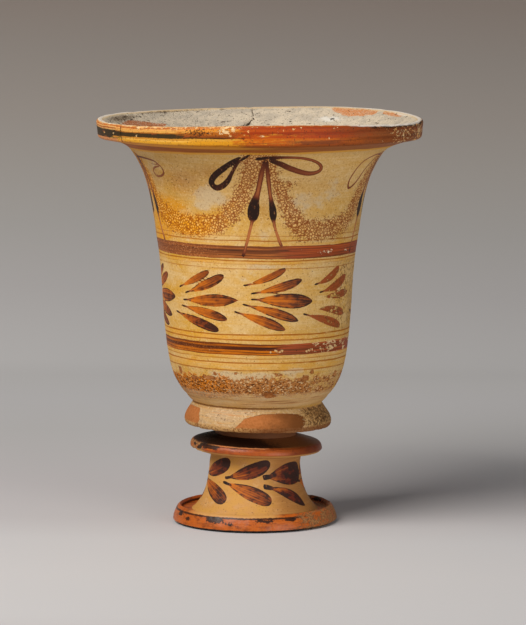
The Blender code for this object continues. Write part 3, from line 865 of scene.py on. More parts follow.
def relief(surface, bare, crack_depth):
    """How far each point stands out from the true surface along its normal, in millimetres."""
    place = surface.place
    inner = surface.on("inside", "mouth")
    # Wheel lines, swellings and small bumps, coarser on the inside
    out = 0.07 * noise(place, (60, 60, 2.4), 11) + 0.12 * noise(place, 24, 12) + 0.05 * noise(place, 5, 13)
    out += inner * (0.16 * noise(place, (70, 70, 5), 14) + 0.1 * noise(place, 2.6, 15))
    out -= BARE_DEPTH * between(bare, -0.4, 0.4)
    turn = surface.turn

    # The rim never stands out past its true size, and is nicked along its upper and lower edges
    rim = surface.on("rim")
    top = between(surface.height, RIM_LEVEL - 2.4, RIM_LEVEL - 0.6)
    foot = between(surface.height, RIM_UNDER_LEVEL + 2.2, RIM_UNDER_LEVEL + 0.6)
    ragged = 0.35 + 0.9 * between(np.abs(turn_gap(turn, 52.0)), 22.0, 8.0) + 0.5 * between(turn, -60.0, -80.0)
    nick = np.maximum(noise(place, 3.2, 21) + 0.5 * noise(place, 1.5, 22) - 0.15, 0.0)
    out = np.where(rim > 0, np.minimum(out, 0.0) - 0.05 + 0.05 * noise(place, (30, 30, 1.6), 23), out)
    out -= rim * (0.55 * ragged * top + 0.28 * foot) * nick

    # Flange and foot are worn along their edges, most on the left and on the right
    edge = between(surface.radius, FLANGE_RADIUS - 3, FLANGE_RADIUS - 0.6)
    edge = surface.on("flange", "flange_under") * edge
    left = between(np.abs(turn_gap(turn, -74)), 26, 12)
    wear = np.maximum(noise(place, 3, 24) + 0.45 * noise(place, 1.4, 25) + 0.1, 0)
    out -= edge * (0.12 + 0.75 * left) * wear
    right = between(turn, 25, 55)
    wear = np.maximum(noise(place, 3.4, 26) + 0.5 * noise(place, 1.5, 27) - 0.1, 0.0)
    out -= surface.on("foot") * (0.22 + 0.22 * right) * wear
    skirt_edge = surface.on("skirt") * between(surface.height, SKIRT_LEVEL + 3.2, SKIRT_LEVEL + 1.0)
    out -= skirt_edge * 0.35 * np.maximum(noise(place, 3.0, 28) + 0.4 * noise(place, 1.3, 29) - 0.1, 0.0)

    # Where the slip of the lower wall has crumbled, the face is rough
    crumbled = surface.on("wall") * between(surface.height, 80.0, 75.0) * between(surface.height, 62.0, 65.5)
    out += 0.07 * crumbled * noise(place, 1.5, 30)
    # A turned groove sets off the bowl's foot from its wall
    groove = surface.on("wall") * np.exp(-((surface.height - GROOVE_HEIGHT) / GROOVE_HALF_WIDTH) ** 2)
    out -= groove * (0.28 + 0.12 * noise(place, 6.0, 31))
    out -= crack_depth
    return np.where((surface.on("ring") > 0) | (surface.radius < 0.01), 0.0, out)


def stray(height):
    """The shift towards +X and the tilt, as a slope, of the vessel at each height."""
    stations = (
        (SPOOL_TOP - FLANGE_EDGE_HEIGHT, 0.0, 0.0),
        (SPOOL_TOP, FLANGE_SHIFT, FLANGE_TILT),
        (STEM_FOOT, FLANGE_SHIFT, FLANGE_TILT),
        (SKIRT_LEVEL, SKIRT_SHIFT, SKIRT_TILT),
        (SEAT_LEVEL, BOWL_SHIFT, BOWL_TILT),
        (NECK_LEVEL + RIM_COVE_RISE / 2, BOWL_SHIFT, BOWL_TILT),
        (RIM_UNDER_LEVEL, RIM_SHIFT, RIM_TILT),
    )
    shift, tilt = np.zeros(height.shape), np.zeros(height.shape)
    for low, high in zip(stations, stations[1:]):
        share = between(height, low[0], high[0])
        shift += (high[1] - low[1]) * share
        tilt += (high[2] - low[2]) * share
    return shift, np.tan(np.radians(tilt))


def rim_wave(turn, height):
    """How far the rim's top rises at a turn in radians from +X, fading out down its face."""
    wave = RIM_SLANT * np.cos(turn - math.radians(RIM_SLANT_TURN))
    wave += RIM_SADDLE * np.cos(2 * (turn - math.radians(RIM_SADDLE_TURN)))
    wave += RIM_TRIPLE * np.cos(3 * (turn - math.radians(RIM_TRIPLE_TURN)))
    return wave * between(height, RIM_UNDER_LEVEL, RIM_LEVEL)


def bent(place, true_height):
    """Points moved from the true turned shape to their place on the hand-made vessel."""
    shift, slope = stray(true_height)
    lift = rim_wave(np.arctan2(place[..., 1], place[..., 0]), true_height) - slope * place[..., 0]
    moved = place.copy()
    moved[..., 0] += shift - RIM_SHIFT
    moved[..., 2] += lift
    return moved


# ---- The mesh ----

# The share of the unwrapping's height that each section takes, and the gap between sections
BAKE_SHARES = {"inside": 0.05, "mouth": 0.16, "rim": 0.12, "wall": 0.4, "skirt": 0.06, "stem": 0.015,
               "flange": 0.055, "flange_under": 0.02, "spool": 0.075, "foot": 0.05, "ring": 0.01,
               "hollow": 0.02}
BAKE_GAP = 0.004


def bake_rows(surface):
    """The V coordinate of the lower and upper edge of each row of faces, with a gap between sections."""
    total = sum(BAKE_SHARES.values()) + BAKE_GAP * (len(SECTION_NAMES) + 1)
    bounds, start = [], BAKE_GAP
    face_section = surface.row_section[1:]
    for number, name in enumerate(SECTION_NAMES):
        rows = np.nonzero(face_section == number)[0]
        arcs = surface.row_arc[rows[0]:rows[-1] + 2]
        scale = BAKE_SHARES[name] / (arcs[-1] - arcs[0])
        places = (start + (arcs - arcs[0]) * scale) / total
        bounds.append(np.stack([places[:-1], places[1:]], axis=1))
        start += BAKE_SHARES[name] + BAKE_GAP
    return np.concatenate(bounds)


def build_mesh(surface, places, attributes):
    """One closed mesh from the grid of points, in metres, with its attributes and its unwrapping."""
    rows, columns = surface.shape
    first, last = 1, rows - 1
    index = np.full((rows, columns), -1)
    index[0] = 0
    index[first:last] = 1 + np.arange((last - first) * columns).reshape(last - first, columns)
    index[last] = index[last - 1].max() + 1
    count = index[last, 0] + 1
    pick = np.zeros(count, int)
    flat_index = index.reshape(-1)
    pick[flat_index] = np.arange(flat_index.size)

    along = np.arange(columns)
    after = (along + 1) % columns
    u_low = np.concatenate([surface.columns + 90.0, [360.0]]) / 360.0
    u_low = BAKE_GAP + u_low * (1 - 2 * BAKE_GAP)
    v = bake_rows(surface)
    corners, sizes, uvs = [], [], []
    for row in range(rows - 1):
        low, high = index[row], index[row + 1]
        left, right = u_low[:-1], u_low[1:]
        v0, v1 = np.full(columns, v[row, 0]), np.full(columns, v[row, 1])
        if row == 0:
            faces = [low[along], high[along], high[after]]
            uv = [((left + right) / 2, v0), (left, v1), (right, v1)]
        elif row == rows - 2:
            faces = [low[along], high[along], low[after]]
            uv = [(left, v0), ((left + right) / 2, v1), (right, v0)]
        else:
            faces = [low[along], high[along], high[after], low[after]]
            uv = [(left, v0), (left, v1), (right, v1), (right, v0)]
        corners.append(np.stack(faces, axis=1).reshape(-1))
        sizes.append(np.full(columns, len(faces)))
        uvs.append(np.stack([np.stack(pair, axis=1) for pair in uv], axis=1).reshape(-1, 2))
    corners, sizes, uvs = np.concatenate(corners), np.concatenate(sizes), np.concatenate(uvs)

    mesh = bpy.data.meshes.new("painted_bowl")
    mesh.vertices.add(count)
    mesh.vertices.foreach_set("co", (places.reshape(-1, 3)[pick] / 1000).astype(np.float32).reshape(-1))
    mesh.loops.add(len(corners))
    mesh.loops.foreach_set("vertex_index", corners.astype(np.int32))
    mesh.polygons.add(len(sizes))
    starts = np.concatenate([[0], np.cumsum(sizes)[:-1]])
    mesh.polygons.foreach_set("loop_start", starts.astype(np.int32))
    materials = np.repeat(np.array(SECTION_MATERIALS)[surface.row_section[1:]], columns)
    mesh.polygons.foreach_set("material_index", materials.astype(np.int32))
    mesh.update(calc_edges=True)
    layer = mesh.uv_layers.new(name="OFBake")
    layer.uv.foreach_set("vector", uvs.astype(np.float32).reshape(-1))
    for name, parts in attributes.items():
        values = np.stack([np.broadcast_to(part, surface.shape) for part in parts], axis=-1)
        holder = mesh.attributes.new(name, "FLOAT_VECTOR", "POINT")
        holder.data.foreach_set("vector", values.reshape(-1, 3)[pick].astype(np.float32).reshape(-1))
    mesh.shade_smooth()
    mesh.set_sharp_from_angle(angle=math.radians(SHARP_ANGLE))
    mesh.validate()
    return mesh


def paint_layers(surface, stalks):
    """The strokes in three layers, so that strokes that cross lie in different ones."""
    loops = [LEFT_LOOP, RIGHT_LOOP, LEFT_KNOT_LOOP, RIGHT_KNOT_LOOP]
    lefts, rights = [LEFT_RIBBON], [RIGHT_RIBBON, KNOT_STROKE]
    for knot in (LEFT_KNOT, RIGHT_KNOT) + BACK_KNOTS:
        step = knot - FRONT_KNOT
        lefts.append((turned(LEFT_RIBBON[0], step),) + LEFT_RIBBON[1:])
        rights.append((turned(RIGHT_RIBBON[0], step),) + RIGHT_RIBBON[1:])
        for points, widths, tones in (LEFT_LOOP, RIGHT_LOOP):
            behind = knot in BACK_KNOTS or (knot > 0) == (points is RIGHT_LOOP[0])
            if behind:
                thin = [THIN_LOOP_WIDTH] * len(widths)
                loops.append((turned(points, step), thin, [THIN_LOOP_TONE] * len(tones)))
    layers = [[stroke(surface, *spec) for spec in layer] for layer in (loops, lefts, rights)]
    for number, stalk in enumerate(stalks):
        layers[number % 3].append(stalk)
    return [paint_strokes(surface, layer) for layer in layers]


# Everything stays this far inside the solid's box
CAD_MARGIN = 0.002


def put_in_scene(name, data):
    thing = bpy.data.objects.new(name, data)
    bpy.context.scene.collection.objects.link(thing)
    return thing


def build_vessel():
    surface = Surface()
    leaf, leaf_fields, stalks = paint_leaves(surface)
    layers = paint_layers(surface, stalks)
    bare, black = bare_and_black(surface)
    stain = stains(surface)
    crack_gap, crack_depth = cracks(surface)
    turn = surface.turn
    attributes = {
        "clay_place": (surface.place[..., 0], surface.place[..., 1], surface.place[..., 2]),
        "leaf": (leaf, leaf_fields["along"], leaf_fields["across"]),
        "leaf_kind": (leaf_fields["dark"], leaf_fields["worn"], leaf_fields["chance"]),
        "stroke_loops": layers[0],
        "stroke_left": layers[1],
        "stroke_right": layers[2],
        "sponged": (paint_garlands(surface), crack_gap, np.sin(np.radians(turn))),
        "worn": (bare, black, np.cos(np.radians(turn))),
        "stain": (stain["gold"], stain["pale"], stain["brown"]),
        "parts_high": (surface.on("skirt"), surface.on("flange", "flange_under"), surface.on("flange_under")),
        "parts_low": (surface.on("foot", "ring"), surface.on("hollow", "stem"), surface.on("spool")),
    }
    moved = surface.place + surface.normal * relief(surface, bare, crack_depth)[..., None]
    places = bent(moved, surface.height)
    low, high = np.array(CAD_LOW) * 1000, np.array(CAD_HIGH) * 1000
    places = np.clip(places, low + CAD_MARGIN, high - CAD_MARGIN)
    places[(surface.on("ring") > 0) & (surface.height < 0.01), 2] = 0.0
    mesh = build_mesh(surface, places, attributes)
    vessel = put_in_scene("painted_bowl", mesh)
    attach(vessel, "root")
    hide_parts("pedestal_bowl")
    return vessel


# ---- Shader helpers ----

# The fields of the mesh, three to an attribute. A Paint gives each of them by its name
FIELDS = {
    "clay_place": ("x", "y", "z"),
    "leaf": ("leaf_inside", "leaf_along", "leaf_across"),
    "leaf_kind": ("leaf_dark", "leaf_worn", "leaf_chance"),
    "sponged": ("garland", "crack_gap", "across"),
    "worn": ("bare", "black", "front"),
    "stain": ("gold", "pale", "brown"),
    "parts_high": ("skirt", "flange", "flange_under"),
    "parts_low": ("foot", "hidden", "spool"),
}


def tone(red, green, blue):
    """A colour from its screen values of 0 to 255, as the linear colour that a shader takes."""
    channels = []
    for value in (red, green, blue):
        share = value / 255.0
        channels.append(share / 12.92 if share <= 0.04045 else ((share + 0.055) / 1.055) ** 2.4)
    return tuple(channels) + (1.0,)


class Value:
    """A number or colour that varies over the surface: a node's output, with arithmetic that adds nodes."""

    def __init__(self, tree, socket):
        self.tree, self.socket = tree, socket

    def math(self, operation, first, second=0.0):
        node = self.tree.nodes.new("ShaderNodeMath")
        node.operation = operation
        put(first, node.inputs[0])
        put(second, node.inputs[1])
        return Value(self.tree, node.outputs[0])

    def __add__(self, other):
        return self.math("ADD", self, other)

    def __radd__(self, other):
        return self.math("ADD", other, self)

    def __sub__(self, other):
        return self.math("SUBTRACT", self, other)

    def __rsub__(self, other):
        return self.math("SUBTRACT", other, self)

    def __mul__(self, other):
        return self.math("MULTIPLY", self, other)

    def __truediv__(self, other):
        return self.math("DIVIDE", self, other)

    def __abs__(self):
        return self.math("ABSOLUTE", self)

    def between(self, low, high):
        """0 at low, 1 at high, smooth between them. With low above high it falls instead."""
        rising = high > low
        node = self.tree.nodes.new("ShaderNodeMapRange")
        node.interpolation_type = "SMOOTHSTEP"
        put(self, node.inputs["Value"])
        put(min(low, high), node.inputs["From Min"])
        put(max(low, high), node.inputs["From Max"])
        put(0 if rising else 1, node.inputs["To Min"])
        put(1 if rising else 0, node.inputs["To Max"])
        return Value(self.tree, node.outputs["Result"])

    def band(self, low, high, soft):
        """1 from low to high with soft edges, 0 outside."""
        return least(self.between(low - soft, low + soft), self.between(high + soft, high - soft))

    def mark(self, middle, half, soft):
        """1 within half of the middle, fading to 0 over soft."""
        return abs(self - middle).between(half + soft, max(half - soft, 0))


def put(value, socket):
    """Links a value to a socket, or sets a plain number or colour."""
    if isinstance(value, Value):
        value.tree.links.new(value.socket, socket)
    else:
        socket.default_value = value


def folded(operation, values):
    total = values[0]
    for value in values[1:]:
        total = value.math(operation, total, value)
    return total


def most(*values):
    return folded("MAXIMUM", values)


def least(*values):
    return folded("MINIMUM", values)


def mix(share, first, second):
    """The first colour where the share is 0 and the second one where it is 1."""
    node = share.tree.nodes.new("ShaderNodeMix")
    node.data_type = "RGBA"
    for value, number in ((share, 0), (first, 6), (second, 7)):
        put(value, node.inputs[number])
    return Value(share.tree, node.outputs[2])


def coats(colour, layers):
    """A colour under coats of others, each as (share, colour), the last one on top."""
    for share, layer in layers:
        colour = mix(share, colour, layer)
    return colour


def fill_ramp(node, stops):
    """Gives a colour ramp its stops, as (position, screen colour). The first one is at 0."""
    points = node.color_ramp.elements
    points.remove(points[1])
    points[0].position = 0.0
    points[0].color = tone(*stops[0][1])
    for position, shade in stops[1:]:
        points.new(position).color = tone(*shade)


class Paint:
    """One material, with the mesh's fields by their names, such as paint.across."""

    def __init__(self, name):
        self.material = bpy.data.materials.new(name)
        self.material.use_nodes = True
        self.tree = self.material.node_tree
        self.shader = self.tree.nodes["Principled BSDF"]
        self.parts = {}

    def __getattr__(self, field):
        for name, fields in FIELDS.items():
            if field in fields:
                return self.attribute(name)[1 + fields.index(field)]
        raise AttributeError(field)

    def attribute(self, name):
        """A mesh attribute as its vector and its three numbers."""
        if name not in self.parts:
            source = self.tree.nodes.new("ShaderNodeAttribute")
            source.attribute_name = name
            vector = Value(self.tree, source.outputs["Vector"])
            split = self.tree.nodes.new("ShaderNodeSeparateXYZ")
            put(vector, split.inputs[0])
            self.parts[name] = [vector] + [Value(self.tree, socket) for socket in split.outputs]
        return self.parts[name]

    def joined(self, *numbers):
        """Three numbers as one vector."""
        node = self.tree.nodes.new("ShaderNodeCombineXYZ")
        for number, socket in zip(numbers, node.inputs):
            put(number, socket)
        return Value(self.tree, node.outputs[0])

    def scaled(self, vector, size, shift):
        """A vector counted in bumps. The size is in millimetres, as one number or as width and height."""
        wide, tall = size if isinstance(size, tuple) else (size, size)
        node = self.tree.nodes.new("ShaderNodeMapping")
        put(vector, node.inputs["Vector"])
        put((1 / wide, 1 / wide, 1 / tall), node.inputs["Scale"])
        put((shift, shift * 1.7, shift * 0.6), node.inputs["Location"])
        return Value(self.tree, node.outputs[0])

    def noise(self, size, detail=3, rough=0.55, shift=0, distortion=0, vector=None):
        """Noise about 0.5, over the clay or along another vector."""
        node = self.tree.nodes.new("ShaderNodeTexNoise")
        put(self.scaled(vector or self.attribute("clay_place")[0], size, shift), node.inputs["Vector"])
        settings = {"Scale": 1, "Detail": detail, "Roughness": rough, "Distortion": distortion}
        for name, value in settings.items():
            put(value, node.inputs[name])
        return Value(self.tree, node.outputs["Fac"])

    def cells(self, size, feature, shift):
        """Distance in a pattern of random cells."""
        node = self.tree.nodes.new("ShaderNodeTexVoronoi")
        node.feature = feature
        put(self.scaled(self.attribute("clay_place")[0], size, shift), node.inputs["Vector"])
        put(1, node.inputs["Scale"])
        put(1, node.inputs["Randomness"])
        return Value(self.tree, node.outputs["Distance"])

    def bands(self, height, low, high, stripes, soft):
        """Stripes from low to high: each is a height and a screen colour, and holds up to the next one."""
        stops = [(0, stripes[0][1:])]
        for before, after in zip(stripes, stripes[1:]):
            stops.append(((after[0] - soft - low) / (high - low), before[1:]))
            stops.append(((after[0] + soft - low) / (high - low), after[1:]))
        node = self.tree.nodes.new("ShaderNodeValToRGB")
        fill_ramp(node, stops)
        put((height - low) / (high - low), node.inputs["Fac"])
        return Value(self.tree, node.outputs["Color"])


# ---- The painted clay ----

CREAM = tone(208, 169, 106)
CREAM_LIGHT = tone(222, 192, 138)
CREAM_YELLOW = tone(202, 148, 44)
GOLD = tone(214, 142, 6)
PALE = tone(200, 174, 134)
BROWN_STAIN = tone(150, 96, 38)
CLAY = tone(158, 94, 44)
CLAY_PALE = tone(182, 120, 66)
CHIP_CLAY = tone(174, 106, 56)
SHADED_CLAY = tone(112, 64, 26)
DIRT = tone(48, 26, 10)
FLAKE = tone(228, 194, 142)
WASH_YELLOW = tone(214, 150, 40)
BAND_DARK = tone(104, 52, 22)
BAND_RED = tone(164, 72, 34)
BAND_ORANGE = tone(196, 104, 22)
BAND_BLACK = tone(40, 22, 12)
LINE_BROWN = tone(158, 88, 8)
LEAF_ORANGE = tone(200, 108, 18)
LEAF_BROWN = tone(140, 68, 20)
LEAF_DEEP = tone(126, 52, 20)
LEAF_RED = tone(160, 80, 40)
LEAF_PURPLE = tone(98, 34, 16)
LEAF_DARK = tone(46, 26, 18)
STROKE_BLACK = tone(38, 22, 14)
STROKE_RED = tone(124, 58, 32)
STROKE_ORANGE = tone(178, 106, 56)
STROKE_EDGE = tone(84, 34, 22)
NET_BROWN = tone(136, 68, 20)
NET_GOLD = tone(156, 80, 2)
CELL_GOLD = tone(228, 152, 14)
CELL_LIGHT = tone(236, 194, 120)
CRUMB_PINK = tone(178, 112, 54)
CRUMB_BROWN = tone(112, 60, 22)
CRUMB_GOLD = tone(204, 114, 10)
CRUMB_UMBER = tone(84, 40, 4)
SKIRT_CREAM = tone(170, 138, 102)
CHALK = tone(212, 194, 168)
CHALK_GREY = tone(190, 175, 154)
CHALK_DIRT = tone(120, 96, 68)
PINK_CLAY = tone(184, 112, 70)
ORANGE_CLAY = tone(204, 134, 84)
GLAZE_ORANGE = tone(180, 88, 24)
GLAZE_DARK = tone(112, 50, 18)
GLAZE_BLACK = tone(28, 16, 10)
GLAZE_WORN = tone(172, 122, 70)
SPOOL_TAN = tone(194, 140, 76)
FLANGE_BLACK = tone(34, 16, 8)
FLANGE_BROWN = tone(124, 74, 38)

# Stripes of the rim's face at five places from the left end to the right end: the height from which each
# colour holds, upwards, and its screen colour
RIM_FAR_LEFT = (
    (188, 158, 96, 50), (189.3, 200, 130, 76), (191.2, 48, 38, 16), (196, 214, 160, 92),
    (196.7, 170, 84, 28), (197.3, 222, 168, 96), (198, 196, 102, 40), (198.6, 224, 176, 112),
    (199.2, 200, 108, 44), (199.8, 232, 212, 180),
)
RIM_LEFT = (
    (188, 200, 128, 28), (189.8, 214, 152, 40), (191.4, 226, 174, 76), (192, 196, 132, 40),
    (193, 56, 42, 16), (195.4, 170, 104, 26), (195.9, 222, 160, 74), (197, 226, 158, 78),
    (197.8, 172, 88, 28), (198.5, 208, 130, 60), (199.5, 224, 190, 142),
)
RIM_NEAR = (
    (188, 190, 118, 16), (190.2, 208, 142, 24), (192.2, 208, 150, 50), (193.2, 78, 38, 4),
    (193.9, 140, 70, 14), (194.8, 168, 90, 14), (196.4, 214, 134, 40), (197.6, 196, 112, 34),
    (199.3, 222, 184, 132),
)
RIM_RED = (
    (188, 146, 72, 20), (190.3, 176, 78, 4), (191.6, 194, 92, 4), (193.4, 174, 64, 4), (194.8, 152, 50, 4),
    (196.2, 180, 72, 12), (197.4, 160, 58, 10), (198.6, 192, 98, 30), (199.5, 220, 178, 130),
)
RIM_RIGHT = (
    (188, 130, 70, 28), (190.2, 140, 74, 30), (192, 122, 60, 22), (193.4, 146, 80, 36), (195.6, 126, 62, 22),
    (197.4, 138, 76, 34), (199.2, 216, 196, 168),
)
RIM_SPAN = (187, 202)
RIM_SOFTNESS = 0.14
# Where each set of stripes takes over from the one to its left, as places across
RIM_PLACES = ((RIM_LEFT, -0.89, -0.8), (RIM_NEAR, -0.5, -0.36), (RIM_RED, -0.2, -0.06),
              (RIM_RIGHT, 0.34, 0.78))


# The thin lines turned on the slip, as height, half width and strength, and the yellow washes between some of
# them, as heights from and to
SLIP_LINES = ((145.2, 0.14, 0.65), (142.9, 0.24, 1), (133.1, 0.26, 1), (131.6, 0.16, 0.4),
              (129.3, 0.18, 0.75), (97.2, 0.34, 1), (94.7, 0.3, 1), (85.6, 0.2, 0.7), (83.4, 0.3, 1),
              (79.8, 0.26, 0.9))
WASHES = ((131.8, 133.4), (94.2, 97.6), (85.2, 87.4), (79.6, 83.6), (140.2, 141.6))


def cream_slip(paint):
    """The cream slip with its yellow and pale clouds, and a brownish darkening towards the sides and under
    the rim.
    """
    wide = paint.noise((22, 10), 3, 0.6)
    cloud = paint.noise((7, 4.5), 4, 0.65, 3)
    fine = paint.noise(1, 4, 0.7, 9)
    golden = 0.62 + paint.across.between(0, -0.7) * 0.3 - paint.z.between(150, 175) * 0.4
    wheel = paint.noise((34, 0.8), 3, 0.6, 5)
    gold_share = paint.gold + (cloud - 0.5) * 1.5 + (fine - 0.5) * 0.5
    pale_share = (paint.pale + (cloud - 0.5) * 1.6).between(0.22, 0.7)
    brown_darkening = (paint.brown + (fine - 0.5) * 0.5).between(0, 1)
    fleck = paint.noise(0.8, 1, 0.5, 10)
    soil = (fleck + paint.brown * 0.1).between(0.75, 0.78)
    return coats(CREAM, [
        (wide.between(0.34, 0.66) * golden, CREAM_YELLOW),
        (cloud.between(0.48, 0.7) * 0.5, CREAM_LIGHT),
        (wheel.between(0.52, 0.7) * 0.4, CREAM_YELLOW),
        (wheel.between(0.44, 0.3) * 0.3, CREAM_LIGHT),
        (gold_share.between(0.12, 0.9) * 0.85, GOLD),
        (pale_share * 0.85, PALE),
        (brown_darkening * 0.6, BROWN_STAIN),
        (fine.between(0.52, 0.7) * 0.5, BROWN_STAIN),
        (fine.between(0.46, 0.3) * 0.6, CREAM_LIGHT),
        (fleck.between(0.68, 0.74) * 0.6, BROWN_STAIN),
        (soil * 0.8, DIRT),
        (fleck.between(0.3, 0.24) * 0.6, FLAKE),
    ])


def slip_lines(paint, colour):
    """The thin turned lines over and under the bands, with a yellow wash between some of them."""
    uneven = paint.noise((18, 3), 2, 0.5, 21)
    strength = paint.noise((10, 0.8), 3, 0.6, 22)
    height = paint.z + (uneven - 0.5) * 0.9
    wash = 0
    for low, high in WASHES:
        wash = most(wash, height.band(low, high, 0.35))
    share = 0
    colour = mix(wash * strength.between(0.3, 0.65) * 0.5, colour, WASH_YELLOW)
    for middle, half, weight in SLIP_LINES:
        share = most(share, height.mark(middle, half, 0.26) * weight)
    share = share * strength.between(0.25, 0.5)
    return mix(share, colour, LINE_BROWN)


def turned_band(paint, colour, low, high, shift, seam, orange, brown, gritty):
    """A broad band of brown slip laid on the wheel: streaked with orange and black on the left and in the
    middle, plain red-brown on the right. seam is where the streaks end, as a place across."""
    wave = paint.noise((24, 8), 2, 0.5, shift)
    height = paint.z + (wave - 0.5) * 1.2
    rough = (paint.noise((3, 0.7), 2, 0.5, shift + 1) - 0.5) * 0.35
    share = (height + rough).band(low, high, 0.12)
    streak = paint.noise((46, 0.45), 3, 0.7, shift + 2)
    broad = paint.noise((50, 1.6), 2, 0.5, shift + 3)
    patch = paint.noise((12, 1), 3, 0.6, shift + 4)
    warped = height + (streak - 0.5) * 1.9 + (broad - 0.5) * 0.8
    span = high - low
    side = paint.across + (patch - 0.5) * 0.7 + (streak - 0.5) * 0.5
    far_left = side.between(-0.3, -0.62) * gritty
    grit = paint.noise((0.8, 0.6), 3, 0.7, shift + 5)
    lined = coats(orange, [
        (warped.band(low + 0.42 * span, low + 0.74 * span, 0.16), brown),
        (warped.band(high - 0.16 * span, high + 1, 0.12) * 0.9, brown),
        (warped.mark(low + 0.62 * span, 0.2, 0.18) * 0.9, BAND_BLACK),
        (warped.mark(low + 0.24 * span, 0.22, 0.16) * 0.85, BAND_BLACK),
        (warped.mark(low + 0.04 * span, 0.2, 0.2) * 0.8, brown),
        (patch.between(0.42, 0.6) * 0.4, brown),
        (far_left * 0.7, mix(grit.between(0.4, 0.6), brown, orange)),
        (far_left * grit.between(0.6, 0.68) * 0.55, FLAKE),
    ])
    plain = coats(BAND_RED, [
        (streak.between(0.36, 0.64), BAND_DARK),
        (patch.between(0.5, 0.68) * 0.5, BAND_RED),
        (streak.between(0.42, 0.3) * 0.5, BAND_ORANGE),
    ])
    base = mix(side.between(seam - 0.1, seam + 0.1), lined, plain)
    return mix(share, colour, base), share


def flake_level(paint, size, amount, shift):
    """Above 0 in the ragged chips where slip has come off. amount is from 0 for none to 1 for many."""
    coarse = paint.noise((size * 2.2, size), 4, 0.7, shift, 0.6)
    return coarse + amount * 0.3 - 0.78


def flaking(paint, size, amount, shift):
    """1 in a chip, 0 outside."""
    return flake_level(paint, size, amount, shift).between(0, 0.035)


def leaf_slip(paint, colour, thick=0):
    """Leaves brushed in one stroke: orange where thin, brown and black where the slip pooled."""
    edge_noise = paint.noise(1.3, 3, 0.6, 31)
    shape = paint.leaf_inside + (edge_noise - 0.5) * 0.36
    share = shape.between(-0.05, 0.13)
    along_leaf = paint.joined(paint.leaf_along * 1.1, paint.leaf_across * 4.2, paint.leaf_chance * 40)
    streak = paint.noise(1, 4, 0.65, vector=along_leaf)
    pool = paint.noise((3.4, 2.4), 2, 0.5, 33)
    toned = paint.leaf_dark.between(0.16, 0.3)
    inner = streak + (paint.leaf_along - 0.42) * 0.5 + (pool - 0.5) * 0.3
    base = mix(inner.between(0.36, 0.66), LEAF_ORANGE, LEAF_BROWN)
    plain = mix(streak.between(0.35, 0.65), LEAF_RED, LEAF_BROWN)
    rim = paint.leaf_inside.between(0.8, 0.15) * pool.between(0.36, 0.56)
    tip = paint.leaf_along.between(0.4, 0.95)
    deep = paint.leaf_dark.between(0.82, 0.98)
    purple = inner.between(0.16, 0.5) * (0.35 + deep * 0.65) * thick
    streaky = (streak - 0.5) * (4 - deep * 3)
    pooled = (pool - 0.5) * (1.8 + thick * 1.2 - deep * 0.4)
    darkness = rim * 0.85 + tip * 0.66 + pooled + streaky + deep * 0.3 - 0.06
    darkness = darkness * (paint.leaf_dark * 1.3 + 0.04)
    level = flake_level(paint, 1.3, paint.leaf_worn, 35)
    share = share * (1 - level.between(0, 0.035))
    base = coats(plain, [
        (toned, base),
        (deep * inner.between(0.3, 0.55), LEAF_DEEP),
        (purple, LEAF_PURPLE),
        (darkness.between(0.1, 0.85) * 0.92, LEAF_DARK),
        (level.between(-0.045, -0.015) * 0.6, LEAF_DARK),
    ])
    return mix(share, colour, base), share


def thin_strokes(paint, colour):
    """The bow, its ribbons and the leaves' stalks."""
    edge_noise = (paint.noise(1, 3, 0.6, 41) - 0.5) * 0.34
    grain = paint.noise((1, 2.6), 3, 0.6, 42)
    share_all = 0
    for name in ("stroke_right", "stroke_left", "stroke_loops"):
        side, half, kind = paint.attribute(name)[1:]
        room = half - abs(side) - edge_noise
        share = room.between(-0.05, 0.15) * half.between(0.1, 0.22)
        middle = (abs(side) / (half + 0.01)).between(0.8, 0.2)
        edges = (1 - middle) * kind.band(0.3, 0.7, 0.15) * 0.6
        share = share * (1 - grain.between(0.6, 0.76) * 0.4)
        base = coats(STROKE_BLACK, [
            (kind.between(0, 0.45), STROKE_RED),
            (kind.between(0.45, 0.95), STROKE_ORANGE),
            (middle * kind.between(0.2, 0.6) * 0.6, STROKE_ORANGE),
            (edges, STROKE_EDGE),
            (grain.between(0.52, 0.7) * 0.4, STROKE_RED),
        ])
        share_all = most(share_all, share)
        colour = mix(share, colour, base)
    return colour, share_all


def sponge(paint, colour):
    """The garlands, dabbed on with a sponge: a net of brown threads round bright cells."""
    loose = paint.noise(2.6, 3, 0.6, 51)
    wobble = paint.noise(0.8, 3, 0.6, 52)
    net = paint.cells((1.4, 1.25), "DISTANCE_TO_EDGE", 1)
    reach = paint.garland + (loose - 0.5) * 7 + (wobble - 0.5) * 2
    zone = reach.between(-0.3, 0.5)
    threads = (net + (wobble - 0.5) * 0.5).between(0.15, 0.07)
    spiky = (reach + (wobble - 0.5) * 9).between(-1.6, -0.4)
    knots = wobble.between(0.54, 0.62) * net.between(0.34, 0.14)
    centres = zone * net.between(0.2, 0.34) * loose.between(0.34, 0.5)
    left = (paint.across + (loose - 0.5) * 0.5).between(-0.12, -0.62)
    thread_tone = mix(left, NET_BROWN, NET_GOLD)
    halo = left * reach.between(-4, 1) * 0.6
    cell_tone = mix(left, tone(204, 146, 80), CELL_GOLD)
    strength = loose.between(0.24, 0.5)
    return coats(colour, [
        (halo, CELL_GOLD),
        (zone * (0.5 + left * 0.35), cell_tone),
        (centres * (0.5 + left * 0.1), CELL_LIGHT),
        (spiky * threads * (0.55 + strength * 0.4), thread_tone),
        (spiky * knots * 0.7, BAND_DARK),
    ])


